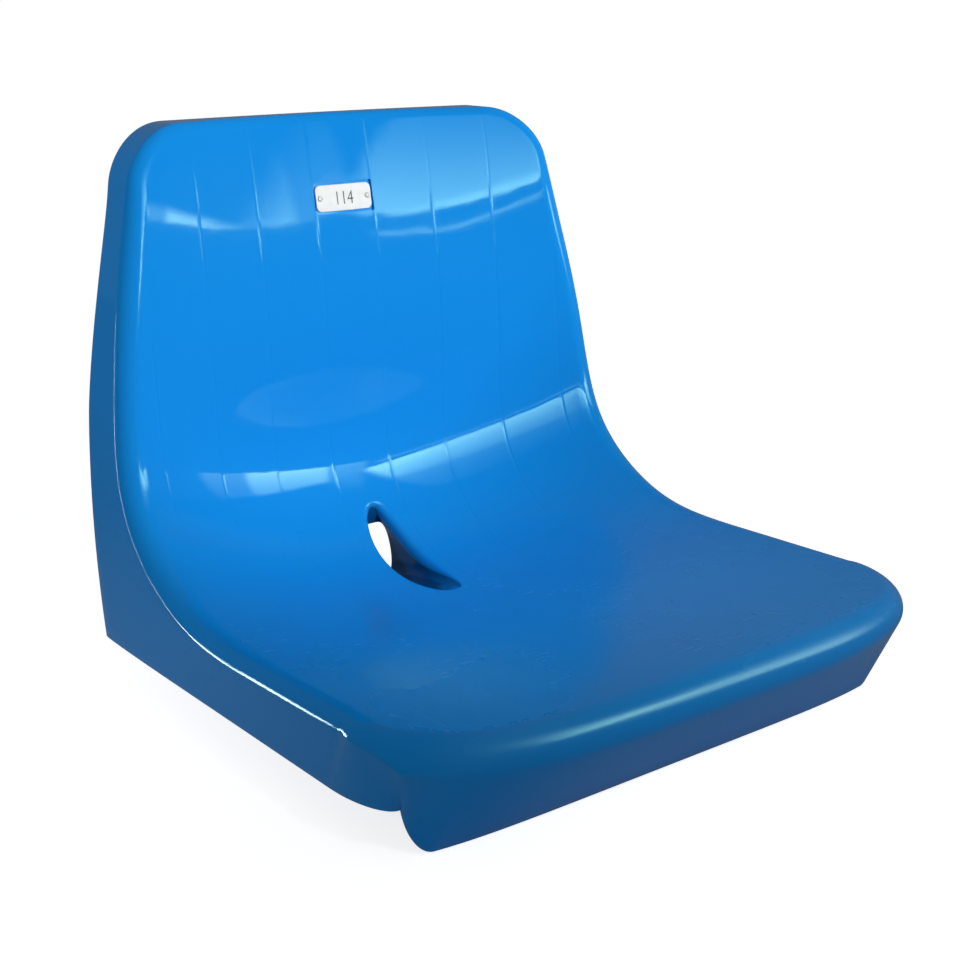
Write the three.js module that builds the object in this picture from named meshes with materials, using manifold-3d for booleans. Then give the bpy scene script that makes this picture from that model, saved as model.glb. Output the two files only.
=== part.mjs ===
// Moulded plastic stadium seat: one shell with its number plate, rivets and fixing inserts.
// Millimetres, +Z up. The seat faces -Y and is mirror symmetric about X = 0.
// The origin is under the middle of the seat, level with the lower edge of the front apron.

import * as THREE from 'three';
import { mergeVertices } from 'three/addons/utils/BufferGeometryUtils.js';
import Module from 'manifold-3d';

const wasm = await Module();
wasm.setup();

// Overall sizes
const seatWidth = 436.4;
const seatDepth = 433.5;
const backHeight = 349;
const apronDrop = 28;
const wall = 4;

// Rim that rolls over round the whole edge of the seat. Except along the front lip, the roll
// stops short by the shoulder's fold, and a tight shoulder takes the rest of the turn.
const rimRadius = 15;
const topRimRadius = 10;
const shoulderRadius = 2;
const shoulderFold = THREE.MathUtils.degToRad(30);
const frontCornerRadius = 36;
const topCornerRadius = 34;
const lipBow = 42;
const lipBowPower = 4;

// Skirt below and behind the rim
const footInset = 1.2;
const apronInset = 36.2;
const apronSetback = 47;
const apronBow = 4.5;
const apronBowPower = 6;
const notchWidth = 18.5;
const notchSetback = 12.5;
const notchLead = 46;
const cornerSwell = 4;

// Drain slot where the pan meets the back, with the spout behind it
const slotHalfWidth = 12.7;
const slotLip = 7;
const spoutTopSetback = 55;
const spoutBottomSetback = 66;
const spoutBottomHeight = 5.5;
const spoutTopHeight = 43.5;

// Stiffening ribs on the hidden side
const ribSideInset = 40.4;
const ribCount = 8;
const ribThickness = 3;
const ribDepth = 12;
const ribSetback = 2.5;
const ribInset = 5;

// Fixing bosses under the pan, with threaded metal inserts
const bossRadius = 12;
const bossSpread = 203.2;
const bossFrontDepth = 130;
const bossRearDepth = 250;
const bossWebThickness = 3;
const insertRadius = 6;
const insertLength = 20;
const insertBoreRadius = 3.4;
const insertChamfer = 0.6;
const fitClearance = 0.3;

// Number plate near the top of the back
const plateWidth = 48;
const plateHeight = 19;
const plateThickness = 1.2;
const plateCornerRadius = 4;
const plateDrop = 60;
const recessWidth = 51;
const recessHeight = 23;
const recessDepth = 1.1;
const rivetSpacing = 41;
const rivetShankRadius = 1.1;
const rivetHeadRadius = 2;
const rivetHeadHeight = 0.7;
const rivetTailRadius = 1.9;
const rivetTailHeight = 1;
const plateBack = fitClearance - recessDepth;

// Stations along the seat from the front lip to the top edge. Each row is a control point
// of the two profiles: depth and height on the centre line, depth and height at the rim,
// and half width, as shares of the seat's depth, its back height and half its width.
const stationShares = [
  [0.036, 0.146, 0.036, 0.143, 1],
  [0.102, 0.143, 0.103, 0.146, 1],
  [0.225, 0.119, 0.223, 0.144, 1],
  [0.425, 0.098, 0.429, 0.141, 1],
  [0.606, 0.056, 0.605, 0.141, 0.998],
  [0.819, 0.059, 0.709, 0.212, 0.992],
  [0.929, 0.28, 0.811, 0.308, 0.98],
  [0.9, 0.518, 0.838, 0.521, 0.95],
  [0.926, 0.75, 0.864, 0.752, 0.88],
  [0.948, 0.906, 0.882, 0.902, 0.82],
  [0.965, 0.982, 0.9, 0.978, 0.8]
];

// Depth of the side skirt's rear edge from its foot to the top, as shares of the seat's depth
const rearEdgeShares = [0.908, 0.922, 0.943, 0.952, 0.952, 0.956, 0.968, 1];

// The skirt hangs straight down before the first of these shares of the run, reaches
// straight back after the second, and fans out round its heel in between
const fanStartShare = 0.3;
const fanEndShare = 0.72;
const fanPower = 1.6;

// Ends of the slot's opening, as shares of the run from lip to top
const slotFrontShare = 0.385;
const slotRearShare = 0.565;
const slotRoundPower = 0.38;

// Share of the back where the rim radius starts to shrink to that of the top
const topRimStartShare = 0.85;

// Mesh divisions
const sheetColumns = 6;
const cornerColumns = 2;
const frontRows = 11;
const slotRows = 10;
const backRows = 11;
const frontCornerRows = 6;
const heelSlotRow = 7;
const topCornerRows = 4;
const rimSteps = 4;
const shoulderSteps = 2;
const roundSides = 20;
const ribSteps = 26;
const webSteps = 4;
const lengthSteps = 60;
const searchSteps = 30;
const plateCornerSteps = 5;
const rivetSides = 12;
const rivetDomeSteps = 3;
const probeShare = 1 / 4000;

const halfWidth = seatWidth / 2;
const halfDepth = seatDepth / 2;
const footHalfWidth = halfWidth - footInset;
const apronHalfWidth = halfWidth - apronInset;
const ribPitch = (seatWidth - 2 * ribSideInset) / (ribCount - 1);
const rightAngle = Math.PI / 2;

// Value at share v of a clamped, uniform cubic B-spline through a list of control values
function spline(values, v) {
  const degree = 3;
  const spans = values.length - degree;
  const place = Math.min(Math.max(v, 0), 1) * spans;
  const span = Math.min(Math.floor(place), spans - 1);
  const knot = (i) => Math.min(Math.max(i - degree, 0), spans);
  const points = values.slice(span, span + degree + 1);
  for (let level = 1; level <= degree; level += 1) {
    for (let i = degree; i >= level; i -= 1) {
      const low = knot(span + i);
      const high = knot(span + i + 1 + degree - level);
      const share = (place - low) / (high - low);
      points[i] = THREE.MathUtils.lerp(points[i - 1], points[i], share);
    }
  }
  return points[degree];
}

const stationColumn = (column) => stationShares.map((row) => row[column]);
const centreDepthShares = stationColumn(0);
const centreHeightShares = stationColumn(1);
const rimDepthShares = stationColumn(2);
const rimHeightShares = stationColumn(3);
const halfWidthShares = stationColumn(4);

const ribX = (place) => ribPitch * (place - (ribCount - 1) / 2);
const depthToY = (depth) => depth - halfDepth;
const heightToZ = (height) => height + apronDrop;
const widthAt = (v) => halfWidth * spline(halfWidthShares, v);
const apronY = (x) => depthToY(apronSetback + apronBow * (x / apronHalfWidth) ** apronBowPower);
const rearEdgeY = (z) => depthToY(seatDepth * spline(rearEdgeShares, (z - apronDrop) / backHeight));

function rimRadiusAt(v) {
  return THREE.MathUtils.lerp(rimRadius, topRimRadius, THREE.MathUtils.smoothstep(v, topRimStartShare, 1));
}

// Point of the seating surface at x across and share v along: the two profiles are
// blended by the square of x, so that every cross-section is a shallow parabola.
function sheetPoint(x, v) {
  const across = (x / widthAt(v)) ** 2;
  const depth = THREE.MathUtils.lerp(spline(centreDepthShares, v), spline(rimDepthShares, v), across);
  const height = THREE.MathUtils.lerp(spline(centreHeightShares, v), spline(rimHeightShares, v), across);
  return new THREE.Vector3(x, depthToY(seatDepth * depth), heightToZ(backHeight * height));
}

// Length of the centre line, which turns a length along the seat into a share of the run
let run = 0;
for (let i = 0; i < lengthSteps; i += 1) {
  run += sheetPoint(0, i / lengthSteps).distanceTo(sheetPoint(0, (i + 1) / lengthSteps));
}

function sheetNormal(x, v) {
  const step = seatWidth * probeShare;
  const before = Math.max(v - probeShare, 0);
  const after = Math.min(v + probeShare, 1);
  const across = sheetPoint(x + step, v).sub(sheetPoint(x - step, v));
  const along = sheetPoint(x, after).sub(sheetPoint(x, before));
  return across.cross(along).normalize();
}

// The opening's half width at share v: rounded at both ends
function slotHalfOpening(v) {
  const place = (v - slotFrontShare) / (slotRearShare - slotFrontShare);
  if (place <= 0 || place >= 1) {
    return 0;
  }
  return (slotHalfWidth + slotLip) * (4 * place * (1 - place)) ** slotRoundPower;
}

// Rows of the mesh as shares of the run, closer together towards both ends of the slot
const rowShares = [];
for (let row = 0; row < frontRows; row += 1) {
  rowShares.push(slotFrontShare * row / frontRows);
}
for (let row = 0; row < slotRows; row += 1) {
  const swing = (1 - Math.cos(Math.PI * row / slotRows)) / 2;
  rowShares.push(THREE.MathUtils.lerp(slotFrontShare, slotRearShare, swing));
}
for (let row = 0; row <= backRows; row += 1) {
  rowShares.push(THREE.MathUtils.lerp(slotRearShare, 1, row / backRows));
}
const lastRow = rowShares.length - 1;

// The front edge bows forward: its share of the run grows towards the corners
const frontShare = (x) => lipBow / run * (x / halfWidth) ** lipBowPower;
const cornerRadiusAt = (v) => THREE.MathUtils.lerp(frontCornerRadius, topCornerRadius, v);
const cornerX = (v) => sideX(v) - cornerRadiusAt(v);

// Distance from the centre of a roll to the plane of the skirt that leaves its shoulder
const rollReach = (radius, fold) => shoulderRadius + (radius - shoulderRadius) * Math.cos(fold);

// The surface stops where the rim's roll starts, whose shoulder is at the full width
function sideX(v) {
  const radius = rimRadiusAt(v);
  const tilt = sheetNormal(widthAt(v) - radius, v).x;
  return widthAt(v) - rollReach(radius, shoulderFold) + radius * tilt;
}

// Edge of the seating surface beside row number row: front corner, side, top corner
function sideEdge(row) {
  const sideStart = frontShare(sideX(0)) + frontCornerRadius / run;
  const sideEnd = 1 - topCornerRadius / run;
  if (row <= frontCornerRows) {
    const angle = rightAngle * row / frontCornerRows;
    const x = cornerX(0) + frontCornerRadius * Math.sin(angle);
    return { x, v: frontShare(x) + frontCornerRadius / run * (1 - Math.cos(angle)) };
  }
  const rowsFromTop = lastRow - row;
  if (rowsFromTop <= topCornerRows) {
    const angle = rightAngle * rowsFromTop / topCornerRows;
    const v = 1 - topCornerRadius / run * (1 - Math.cos(angle));
    return { x: cornerX(1) + (sideX(v) - cornerX(1)) * Math.sin(angle), v };
  }
  const first = rowShares[frontCornerRows];
  const last = rowShares[lastRow - topCornerRows];
  const v = THREE.MathUtils.lerp(sideStart, sideEnd, (rowShares[row] - first) / (last - first));
  return { x: sideX(v), v };
}

// Place on the surface, in x and share of the run, of one node of the right half's mesh
function sheetPlace(column, row) {
  const start = frontShare(cornerX(0));
  const columnShare = Math.min(column / sheetColumns, 1);
  const xShare = rowShares[row];
  const inner = slotHalfOpening(xShare);
  const x = THREE.MathUtils.lerp(inner, cornerX(xShare), columnShare);
  const bow = start * columnShare ** lipBowPower;
  const v = THREE.MathUtils.lerp(bow, 1, xShare);
  if (column <= sheetColumns) {
    return { x, v: inner > 0 && column === 0 ? xShare : v };
  }
  const edge = sideEdge(row);
  const share = (column - sheetColumns) / cornerColumns;
  return { x: THREE.MathUtils.lerp(x, edge.x, share), v: THREE.MathUtils.lerp(v, edge.v, share) };
}

// Lower end of the skirt below the front lip and round the front corner. The apron's edge
// rises in a quarter ellipse to a notch, where the side skirt starts.
function apronEdge(column) {
  const x = apronHalfWidth * column / sheetColumns;
  return new THREE.Vector3(x, apronY(x), 0);
}

function cornerEdge(row) {
  const notchRow = frontCornerRows / 2;
  const notchX = apronHalfWidth + notchWidth;
  const notchDepth = apronSetback + notchSetback;
  if (row <= notchRow) {
    const angle = rightAngle * row / notchRow;
    const depth = THREE.MathUtils.lerp(notchDepth, apronSetback + apronBow, Math.cos(angle));
    const z = apronDrop * (1 - Math.cos(angle));
    return new THREE.Vector3(apronHalfWidth + notchWidth * Math.sin(angle), depthToY(depth), z);
  }
  const angle = rightAngle * (row - notchRow) / notchRow;
  const x = notchX + (footHalfWidth - notchX) * Math.sin(angle);
  const depth = notchDepth + notchLead * (1 - Math.cos(angle));
  return new THREE.Vector3(x, depthToY(depth), apronDrop);
}

const heelY = rearEdgeY(apronDrop);
const heelShare = rowShares[frontRows + heelSlotRow];

// Free edge of the side and top skirt for a point of the rim: on the foot, which runs
// level to the heel, or on the rear edge, which rises from it
function skirtEdge(start, v) {
  if (v <= heelShare) {
    const fan = Math.max(0, (v - fanStartShare) / (heelShare - fanStartShare));
    const share = fan ** fanPower;
    const x = THREE.MathUtils.lerp(footHalfWidth, start.x, share);
    return new THREE.Vector3(x, THREE.MathUtils.lerp(start.y, heelY, share), apronDrop);
  }
  const fan = Math.max(0, (fanEndShare - v) / (fanEndShare - heelShare));
  const z = THREE.MathUtils.lerp(start.z, apronDrop, fan ** fanPower);
  return new THREE.Vector3(start.x, rearEdgeY(z), z);
}

// Widest point of the rim, seen along the skirt that starts there
function shoulderPoint(node, outward, radius) {
  const heading = skirtEdge(node.point, node.v).sub(node.point).normalize();
  const sideways = outward.clone().addScaledVector(heading, -outward.dot(heading)).normalize();
  const centre = node.point.clone().addScaledVector(node.normal, -radius);
  return centre.addScaledVector(sideways, rollReach(radius, shoulderFold));
}

// Section that rolls over from the surface with the given radius, turns by the fold round
// the tight shoulder and runs straight to the free edge. The swell pushes it outward more
// and more along the roll. Each point comes with its partner on the wall's inner face.
function rolledSection(start, normal, outward, radius, edge, fold, swell) {
  const facing = (angle) => {
    return normal.clone().multiplyScalar(Math.cos(angle)).addScaledVector(outward, Math.sin(angle));
  };
  const centre = start.clone().addScaledVector(normal, -radius);
  const depth = rollReach(radius, fold);
  const reach = edge.clone().sub(centre);
  const sideways = reach.dot(outward);
  const upward = reach.dot(normal);
  const distance = Math.hypot(sideways, upward);
  const bearing = THREE.MathUtils.euclideanModulo(Math.atan2(sideways, upward), 4 * rightAngle);
  const turn = bearing - Math.acos(Math.min(depth / distance, 1));
  const flat = facing(turn);
  const section = [];
  for (let i = 0; i <= rimSteps; i += 1) {
    const share = i / rimSteps;
    const origin = centre.clone().addScaledVector(flat, swell * share ** 2);
    const innerRadius = THREE.MathUtils.lerp(radius, depth, share) - wall;
    const point = origin.clone().addScaledVector(facing((turn - fold) * share), radius);
    section.push({ point, back: origin.addScaledVector(facing(turn * share), innerRadius) });
  }
  const { point: rollEnd, back } = section[rimSteps];
  const tightCentre = rollEnd.clone().addScaledVector(facing(turn - fold), -shoulderRadius);
  for (let i = 1; i <= shoulderSteps; i += 1) {
    const angle = turn - fold * (1 - i / shoulderSteps);
    section.push({ point: tightCentre.clone().addScaledVector(facing(angle), shoulderRadius), back });
  }
  section.push({ point: edge, back: edge.clone().addScaledVector(flat, -wall) });
  return section;
}

// Node of the surface mesh with its normal and its partner on the wall's inner face
function sheetNode(column, row) {
  const { x, v } = sheetPlace(column, row);
  const point = sheetPoint(x, v);
  const normal = sheetNormal(x, v);
  return { point, normal, back: point.clone().addScaledVector(normal, -wall), v };
}

const lastColumn = sheetColumns + cornerColumns;
const sheet = [];
for (let column = 0; column <= lastColumn; column += 1) {
  sheet.push(rowShares.map((share, row) => sheetNode(column, row)));
}

// The rim's nodes in order: along the front lip, round the side, along the top
const rim = [];
for (let column = 0; column < sheetColumns; column += 1) {
  rim.push({ ...sheet[column][0], edge: apronEdge(column), cornerShare: 0 });
}
for (let row = 0; row <= lastRow; row += 1) {
  const cornerShare = Math.min(row / frontCornerRows, 1);
  rim.push({ ...sheet[lastColumn][row], edge: row <= frontCornerRows ? cornerEdge(row) : null, cornerShare });
}
for (let column = sheetColumns - 1; column >= 0; column -= 1) {
  rim.push({ ...sheet[column][lastRow], edge: null, cornerShare: 1 });
}

// Direction in the surface, square to its edge and away from it. At the two ends of a half
// loop the mirror image of the neighbour stands in for the missing node.
function edgeOutward(loop, i, side) {
  const mirrored = (node) => node.point.clone().multiply(new THREE.Vector3(-1, 1, 1));
  const before = i > 0 ? loop[i - 1].point : mirrored(loop[1]);
  const after = i < loop.length - 1 ? loop[i + 1].point : mirrored(loop[loop.length - 2]);
  const ahead = after.clone().sub(loop[i].point);
  const back = loop[i].point.clone().sub(before);
  const ratio = back.length() / ahead.length();
  const along = ahead.multiplyScalar(ratio).addScaledVector(back, 1 / ratio);
  return along.cross(loop[i].normal).multiplyScalar(side).normalize();
}

const sideStart = rim[sheetColumns + frontCornerRows].v;
const sideLag = cornerEdge(frontCornerRows).y - rim[sheetColumns + frontCornerRows].point.y;
const rimSections = rim.map((node, i) => {
  const outward = edgeOutward(rim, i, 1);
  const radius = rimRadiusAt(node.v);
  const edge = node.edge ?? skirtEdge(shoulderPoint(node, outward, radius), node.v);
  if (!node.edge && node.v < fanStartShare) {
    edge.y += sideLag * (fanStartShare - node.v) / (fanStartShare - sideStart);
  }
  const fold = shoulderFold * THREE.MathUtils.clamp(2 * node.cornerShare - 1 / 2, 0, 1);
  const swell = cornerSwell * (1 - Math.abs(2 * node.cornerShare - 1)) ** 2;
  return rolledSection(node.point, node.normal, outward, radius, edge, fold, swell);
});

// The slot's nodes from its front end to its hood, each with its place on the spout's end
const slotLoop = sheet[0].slice(frontRows, frontRows + slotRows + 1);
const slotSections = slotLoop.map((node, i) => {
  const outward = edgeOutward(slotLoop, i, -1);
  const angle = Math.PI * i / slotRows;
  const rise = (1 - Math.cos(angle)) / 2;
  const setback = THREE.MathUtils.lerp(spoutBottomSetback, spoutTopSetback, rise);
  const height = THREE.MathUtils.lerp(spoutBottomHeight, spoutTopHeight, rise);
  const x = slotHalfWidth * Math.sin(angle) ** slotRoundPower;
  const edge = new THREE.Vector3(x, halfDepth - setback, heightToZ(height));
  return rolledSection(node.point, node.normal, outward, slotLip, edge, 0, 0);
});

// Triangles of a closed wall: every patch has its outer face and, one wall thickness
// behind it, its inner face, and both come in a right half and a mirrored left half.
const corners = [];

function addTriangle(a, b, c, mirror) {
  const points = mirror ? [a, c, b] : [a, b, c];
  const flat = a.distanceTo(b) * b.distanceTo(c) * c.distanceTo(a) < probeShare ** 3;
  if (flat) {
    return;
  }
  for (const point of points) {
    corners.push(mirror ? -point.x : point.x, point.y, point.z);
  }
}

function addQuad(a, b, c, d) {
  for (const mirror of [false, true]) {
    addTriangle(a, b, c, mirror);
    addTriangle(a, c, d, mirror);
  }
}

function addWall(patch) {
  for (let i = 0; i < patch.length - 1; i += 1) {
    for (let j = 0; j < patch[i].length - 1; j += 1) {
      const nodes = [patch[i][j], patch[i + 1][j], patch[i + 1][j + 1], patch[i][j + 1]];
      addQuad(...nodes.map((node) => node.point));
      addQuad(...nodes.reverse().map((node) => node.back));
    }
  }
}

// Narrow face between the outer and inner face along the last points of the sections
function addEdgeFace(sections) {
  for (let i = 0; i < sections.length - 1; i += 1) {
    const one = sections[i][sections[i].length - 1];
    const two = sections[i + 1][sections[i + 1].length - 1];
    addQuad(one.point, one.back, two.back, two.point);
  }
}

addWall(sheet);
addWall(rimSections.map((section) => [...section].reverse()));
addEdgeFace(rimSections);
addWall(slotSections);
addEdgeFace([...slotSections].reverse());

function toSolid(geometry) {
  const bare = geometry.index ? geometry.toNonIndexed() : geometry.clone();
  bare.deleteAttribute('normal');
  bare.deleteAttribute('uv');
  const merged = mergeVertices(bare, probeShare);
  return new wasm.Manifold(new wasm.Mesh({
    numProp: 3,
    vertProperties: Float32Array.from(merged.attributes.position.array),
    triVerts: Uint32Array.from(merged.index.array)
  }));
}

const shellGeometry = new THREE.BufferGeometry();
shellGeometry.setAttribute('position', new THREE.Float32BufferAttribute(corners, 3));
let shell = toSolid(shellGeometry);

// Share of the run at which the pan passes over a point, and its height there
function panShare(x, y) {
  let low = 0;
  let high = slotRearShare;
  for (let i = 0; i < searchSteps; i += 1) {
    const middle = (low + high) / 2;
    if (sheetPoint(x, middle).y < y) {
      low = middle;
    } else {
      high = middle;
    }
  }
  return low;
}
const panHeight = (x, y) => sheetPoint(x, panShare(x, y)).z;

// Flat outline in the plane X = x, given as points (y, z), made into a plate of the given
// thickness that is centred on that plane
function uprightPlate(points, x, thickness) {
  const outline = new THREE.Shape(points.map((point) => new THREE.Vector2(point.y, point.z)));
  const plate = new THREE.ExtrudeGeometry(outline, { depth: thickness, bevelEnabled: false });
  const axes = new THREE.Matrix4().makeBasis(
    new THREE.Vector3(0, 1, 0),
    new THREE.Vector3(0, 0, 1),
    new THREE.Vector3(1, 0, 0)
  );
  plate.applyMatrix4(axes);
  plate.translate(x - thickness / 2, 0, 0);
  return toSolid(plate);
}

// Middle of the wall at the front lip or the top, in the plane X = x, from the surface
// round the roll and on to the given height or depth
function rollPath(x, v, ahead, radius, fold, edge, isReached) {
  const normal = sheetNormal(x, v);
  const outward = ahead.clone().addScaledVector(normal, -ahead.dot(normal)).setX(0).normalize();
  const section = rolledSection(sheetPoint(x, v), normal.setX(0).normalize(), outward, radius, edge, fold, 0);
  const path = section.map((node) => node.point.clone().lerp(node.back, 1 / 2));
  const end = path.pop();
  const last = path[path.length - 1];
  const share = isReached(last, end);
  path.push(last.clone().lerp(end, THREE.MathUtils.clamp(share, 0, 1)));
  return path;
}

function ribFrontPath(x) {
  const tipZ = sheetPoint(x, frontShare(x)).z - wall - ribDepth;
  const edge = new THREE.Vector3(x, apronY(x), 0);
  const reach = (from, to) => (from.z - tipZ) / (from.z - to.z);
  return rollPath(x, frontShare(x), new THREE.Vector3(0, -1, 0), rimRadius, 0, edge, reach).reverse();
}

function ribTopPath(x) {
  const centre = sheetPoint(x, 1).addScaledVector(sheetNormal(x, 1), -topRimRadius);
  const top = centre.z + rollReach(topRimRadius, shoulderFold);
  const edge = new THREE.Vector3(x, rearEdgeY(top), top);
  const reach = (from, to) => (to.y - ribSetback - from.y) / (to.y - from.y);
  return rollPath(x, 1, new THREE.Vector3(0, 0, 1), topRimRadius, shoulderFold, edge, reach);
}

// A rib follows the hidden side of the surface at x. Its root lies inside the wall, and its
// tip stays ahead of the skirt's rear edge. The inner ribs run into the apron and the top
// skirt, and those that meet the side skirts stop there.
function rib(x) {
  const isFrontTied = Math.abs(x) < cornerX(0) - ribThickness;
  const isTopTied = Math.abs(x) < cornerX(1) - ribThickness;
  const start = frontShare(x) + (isFrontTied ? 0 : ribInset / run);
  let end = 1;
  while (Math.abs(x) + ribThickness / 2 > sideX(end) && !isTopTied) {
    end -= probeShare;
  }
  const root = [];
  const tip = [];
  for (let i = 0; i <= ribSteps; i += 1) {
    const v = THREE.MathUtils.lerp(start, end, i / ribSteps);
    const point = sheetPoint(x, v);
    const normal = sheetNormal(x, v).setX(0).normalize();
    root.push(point.clone().addScaledVector(normal, -wall / 2));
    const tipPoint = point.clone().addScaledVector(normal, -wall - ribDepth);
    tipPoint.y = Math.min(tipPoint.y, rearEdgeY(point.z) - ribSetback);
    tip.push(tipPoint);
  }
  const front = isFrontTied ? ribFrontPath(x).slice(0, -1) : [];
  const top = isTopTied ? ribTopPath(x).slice(1) : [];
  return uprightPlate([...front, ...root, ...top, ...tip.reverse()], x, ribThickness);
}

// Cylinder along Z between two heights
function post(radius, x, y, bottom, top) {
  const cylinder = new THREE.CylinderGeometry(radius, radius, top - bottom, roundSides);
  cylinder.rotateX(rightAngle);
  cylinder.translate(x, y, (top + bottom) / 2);
  return cylinder;
}

// A fixing boss stands on the plane of the side skirts' foot. Its top follows the surface
// and ends inside the wall.
function boss(x, y) {
  const cylinder = post(bossRadius, x, y, apronDrop, panHeight(x, y));
  const positions = cylinder.attributes.position;
  for (let i = 0; i < positions.count; i += 1) {
    if (positions.getZ(i) > apronDrop + bossRadius / 2) {
      positions.setZ(i, panHeight(positions.getX(i), positions.getY(i)) - wall / 2);
    }
  }
  return toSolid(cylinder);
}

// Web across a boss, from the rib on one side of it to the rib on the other. Its top follows
// the surface inside the wall.
function bossWeb(x, y) {
  const low = panHeight(x, y) - wall - ribDepth;
  const near = Math.floor(x / ribPitch + (ribCount - 1) / 2);
  const points = [new THREE.Vector2(ribX(near + 1), low), new THREE.Vector2(ribX(near), low)];
  for (let i = 0; i <= webSteps; i += 1) {
    const across = ribX(near + i / webSteps);
    points.push(new THREE.Vector2(across, panHeight(across, y) - wall / 2));
  }
  const settings = { depth: bossWebThickness, bevelEnabled: false };
  const web = new THREE.ExtrudeGeometry(new THREE.Shape(points), settings);
  web.rotateX(rightAngle);
  web.translate(0, y + bossWebThickness / 2, 0);
  return toSolid(web);
}

function toMesh(geometry, name, colour, roughness, metalness) {
  const material = new THREE.MeshStandardMaterial({ color: colour, roughness, metalness });
  const mesh = new THREE.Mesh(geometry, material);
  mesh.name = name;
  return mesh;
}

function solidGeometry(solid) {
  const { vertProperties, triVerts } = solid.getMesh();
  const geometry = new THREE.BufferGeometry();
  geometry.setAttribute('position', new THREE.BufferAttribute(vertProperties, 3));
  geometry.setIndex(new THREE.BufferAttribute(triVerts, 1));
  return geometry;
}

const bossPlaces = [];
for (const [end, depth] of [['front', bossFrontDepth], ['rear', bossRearDepth]]) {
  for (const [side, sign] of [['left', -1], ['right', 1]]) {
    bossPlaces.push({ name: `${end}_${side}`, x: sign * bossSpread / 2, y: depthToY(depth) });
  }
}

// Frame of the number plate: on the centre line, its Y axis up the back, its Z axis outward
function plateFrame() {
  let low = slotRearShare;
  let high = 1;
  for (let i = 0; i < searchSteps; i += 1) {
    const middle = (low + high) / 2;
    if (sheetPoint(0, middle).z < heightToZ(backHeight - plateDrop)) {
      low = middle;
    } else {
      high = middle;
    }
  }
  const outward = sheetNormal(0, low);
  const across = new THREE.Vector3(1, 0, 0);
  const upward = outward.clone().cross(across);
  return new THREE.Matrix4().makeBasis(across, upward, outward).setPosition(sheetPoint(0, low));
}

const plateMatrix = plateFrame();
const rivetPlaces = [['left', -rivetSpacing / 2], ['right', rivetSpacing / 2]];

// Pocket in the back that the plate lies in, with a hole for each rivet and room for its tail
function plateCut() {
  const pocket = new THREE.BoxGeometry(recessWidth, recessHeight, wall);
  pocket.translate(0, 0, wall / 2 - recessDepth);
  let cut = toSolid(pocket.applyMatrix4(plateMatrix));
  for (const [, x] of rivetPlaces) {
    const hole = post(rivetShankRadius + fitClearance, x, 0, -wall * 2, wall);
    const tailEnd = -wall - rivetTailHeight - 2 * fitClearance;
    const tailRoom = post(rivetTailRadius + fitClearance, x, 0, tailEnd, -wall);
    for (const room of [hole, tailRoom]) {
      cut = cut.add(toSolid(room.applyMatrix4(plateMatrix)));
    }
  }
  return cut;
}

function numberPlate() {
  const outline = new THREE.Shape();
  const halfX = plateWidth / 2;
  const halfY = plateHeight / 2;
  const round = plateCornerRadius;
  outline.moveTo(round - halfX, -halfY);
  outline.absarc(halfX - round, round - halfY, round, -rightAngle, 0);
  outline.absarc(halfX - round, halfY - round, round, 0, rightAngle);
  outline.absarc(round - halfX, halfY - round, round, rightAngle, 2 * rightAngle);
  outline.absarc(round - halfX, round - halfY, round, 2 * rightAngle, 3 * rightAngle);
  for (const [, x] of rivetPlaces) {
    const hole = new THREE.Path();
    hole.absarc(x, 0, rivetShankRadius + fitClearance, 0, 4 * rightAngle, true);
    outline.holes.push(hole);
  }
  const settings = { depth: plateThickness, bevelEnabled: false, curveSegments: plateCornerSteps };
  const plate = new THREE.ExtrudeGeometry(outline, settings);
  plate.translate(0, 0, plateBack);
  return plate;
}

// Blind rivet: domed head on the plate, shank through the wall, spread tail behind it
function rivetGeometry() {
  const headBase = plateBack + plateThickness + fitClearance;
  const tailTop = -wall - fitClearance;
  const profile = [
    new THREE.Vector2(0, tailTop - rivetTailHeight),
    new THREE.Vector2(rivetTailRadius, tailTop - rivetTailHeight),
    new THREE.Vector2(rivetTailRadius, tailTop),
    new THREE.Vector2(rivetShankRadius, tailTop),
    new THREE.Vector2(rivetShankRadius, headBase),
    new THREE.Vector2(rivetHeadRadius, headBase)
  ];
  for (let i = 1; i <= rivetDomeSteps; i += 1) {
    const angle = rightAngle * i / rivetDomeSteps;
    const radius = i === rivetDomeSteps ? 0 : rivetHeadRadius * Math.cos(angle);
    profile.push(new THREE.Vector2(radius, headBase + rivetHeadHeight * Math.sin(angle)));
  }
  const rivet = new THREE.LatheGeometry(profile, rivetSides);
  rivet.rotateX(rightAngle);
  return rivet;
}

// Threaded insert: an open sleeve with both outer ends chamfered
function insertGeometry() {
  const outer = insertRadius - fitClearance;
  const profile = [
    new THREE.Vector2(insertBoreRadius, 0),
    new THREE.Vector2(outer - insertChamfer, 0),
    new THREE.Vector2(outer, insertChamfer),
    new THREE.Vector2(outer, insertLength - insertChamfer),
    new THREE.Vector2(outer - insertChamfer, insertLength),
    new THREE.Vector2(insertBoreRadius, insertLength),
    new THREE.Vector2(insertBoreRadius, 0)
  ];
  const sleeve = new THREE.LatheGeometry(profile, roundSides);
  sleeve.rotateX(rightAngle);
  return sleeve;
}

for (let i = 0; i < ribCount; i += 1) {
  shell = shell.add(rib(ribX(i)));
}
for (const place of bossPlaces) {
  shell = shell.add(bossWeb(place.x, place.y)).add(boss(place.x, place.y));
}
for (const place of bossPlaces) {
  const bore = post(insertRadius, place.x, place.y, 0, apronDrop + insertLength + fitClearance);
  shell = shell.subtract(toSolid(bore));
}
shell = shell.subtract(plateCut());

const seat = new THREE.Group();
seat.add(toMesh(solidGeometry(shell), 'seat_shell', 0x1f86dc, 0.22, 0));

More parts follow.
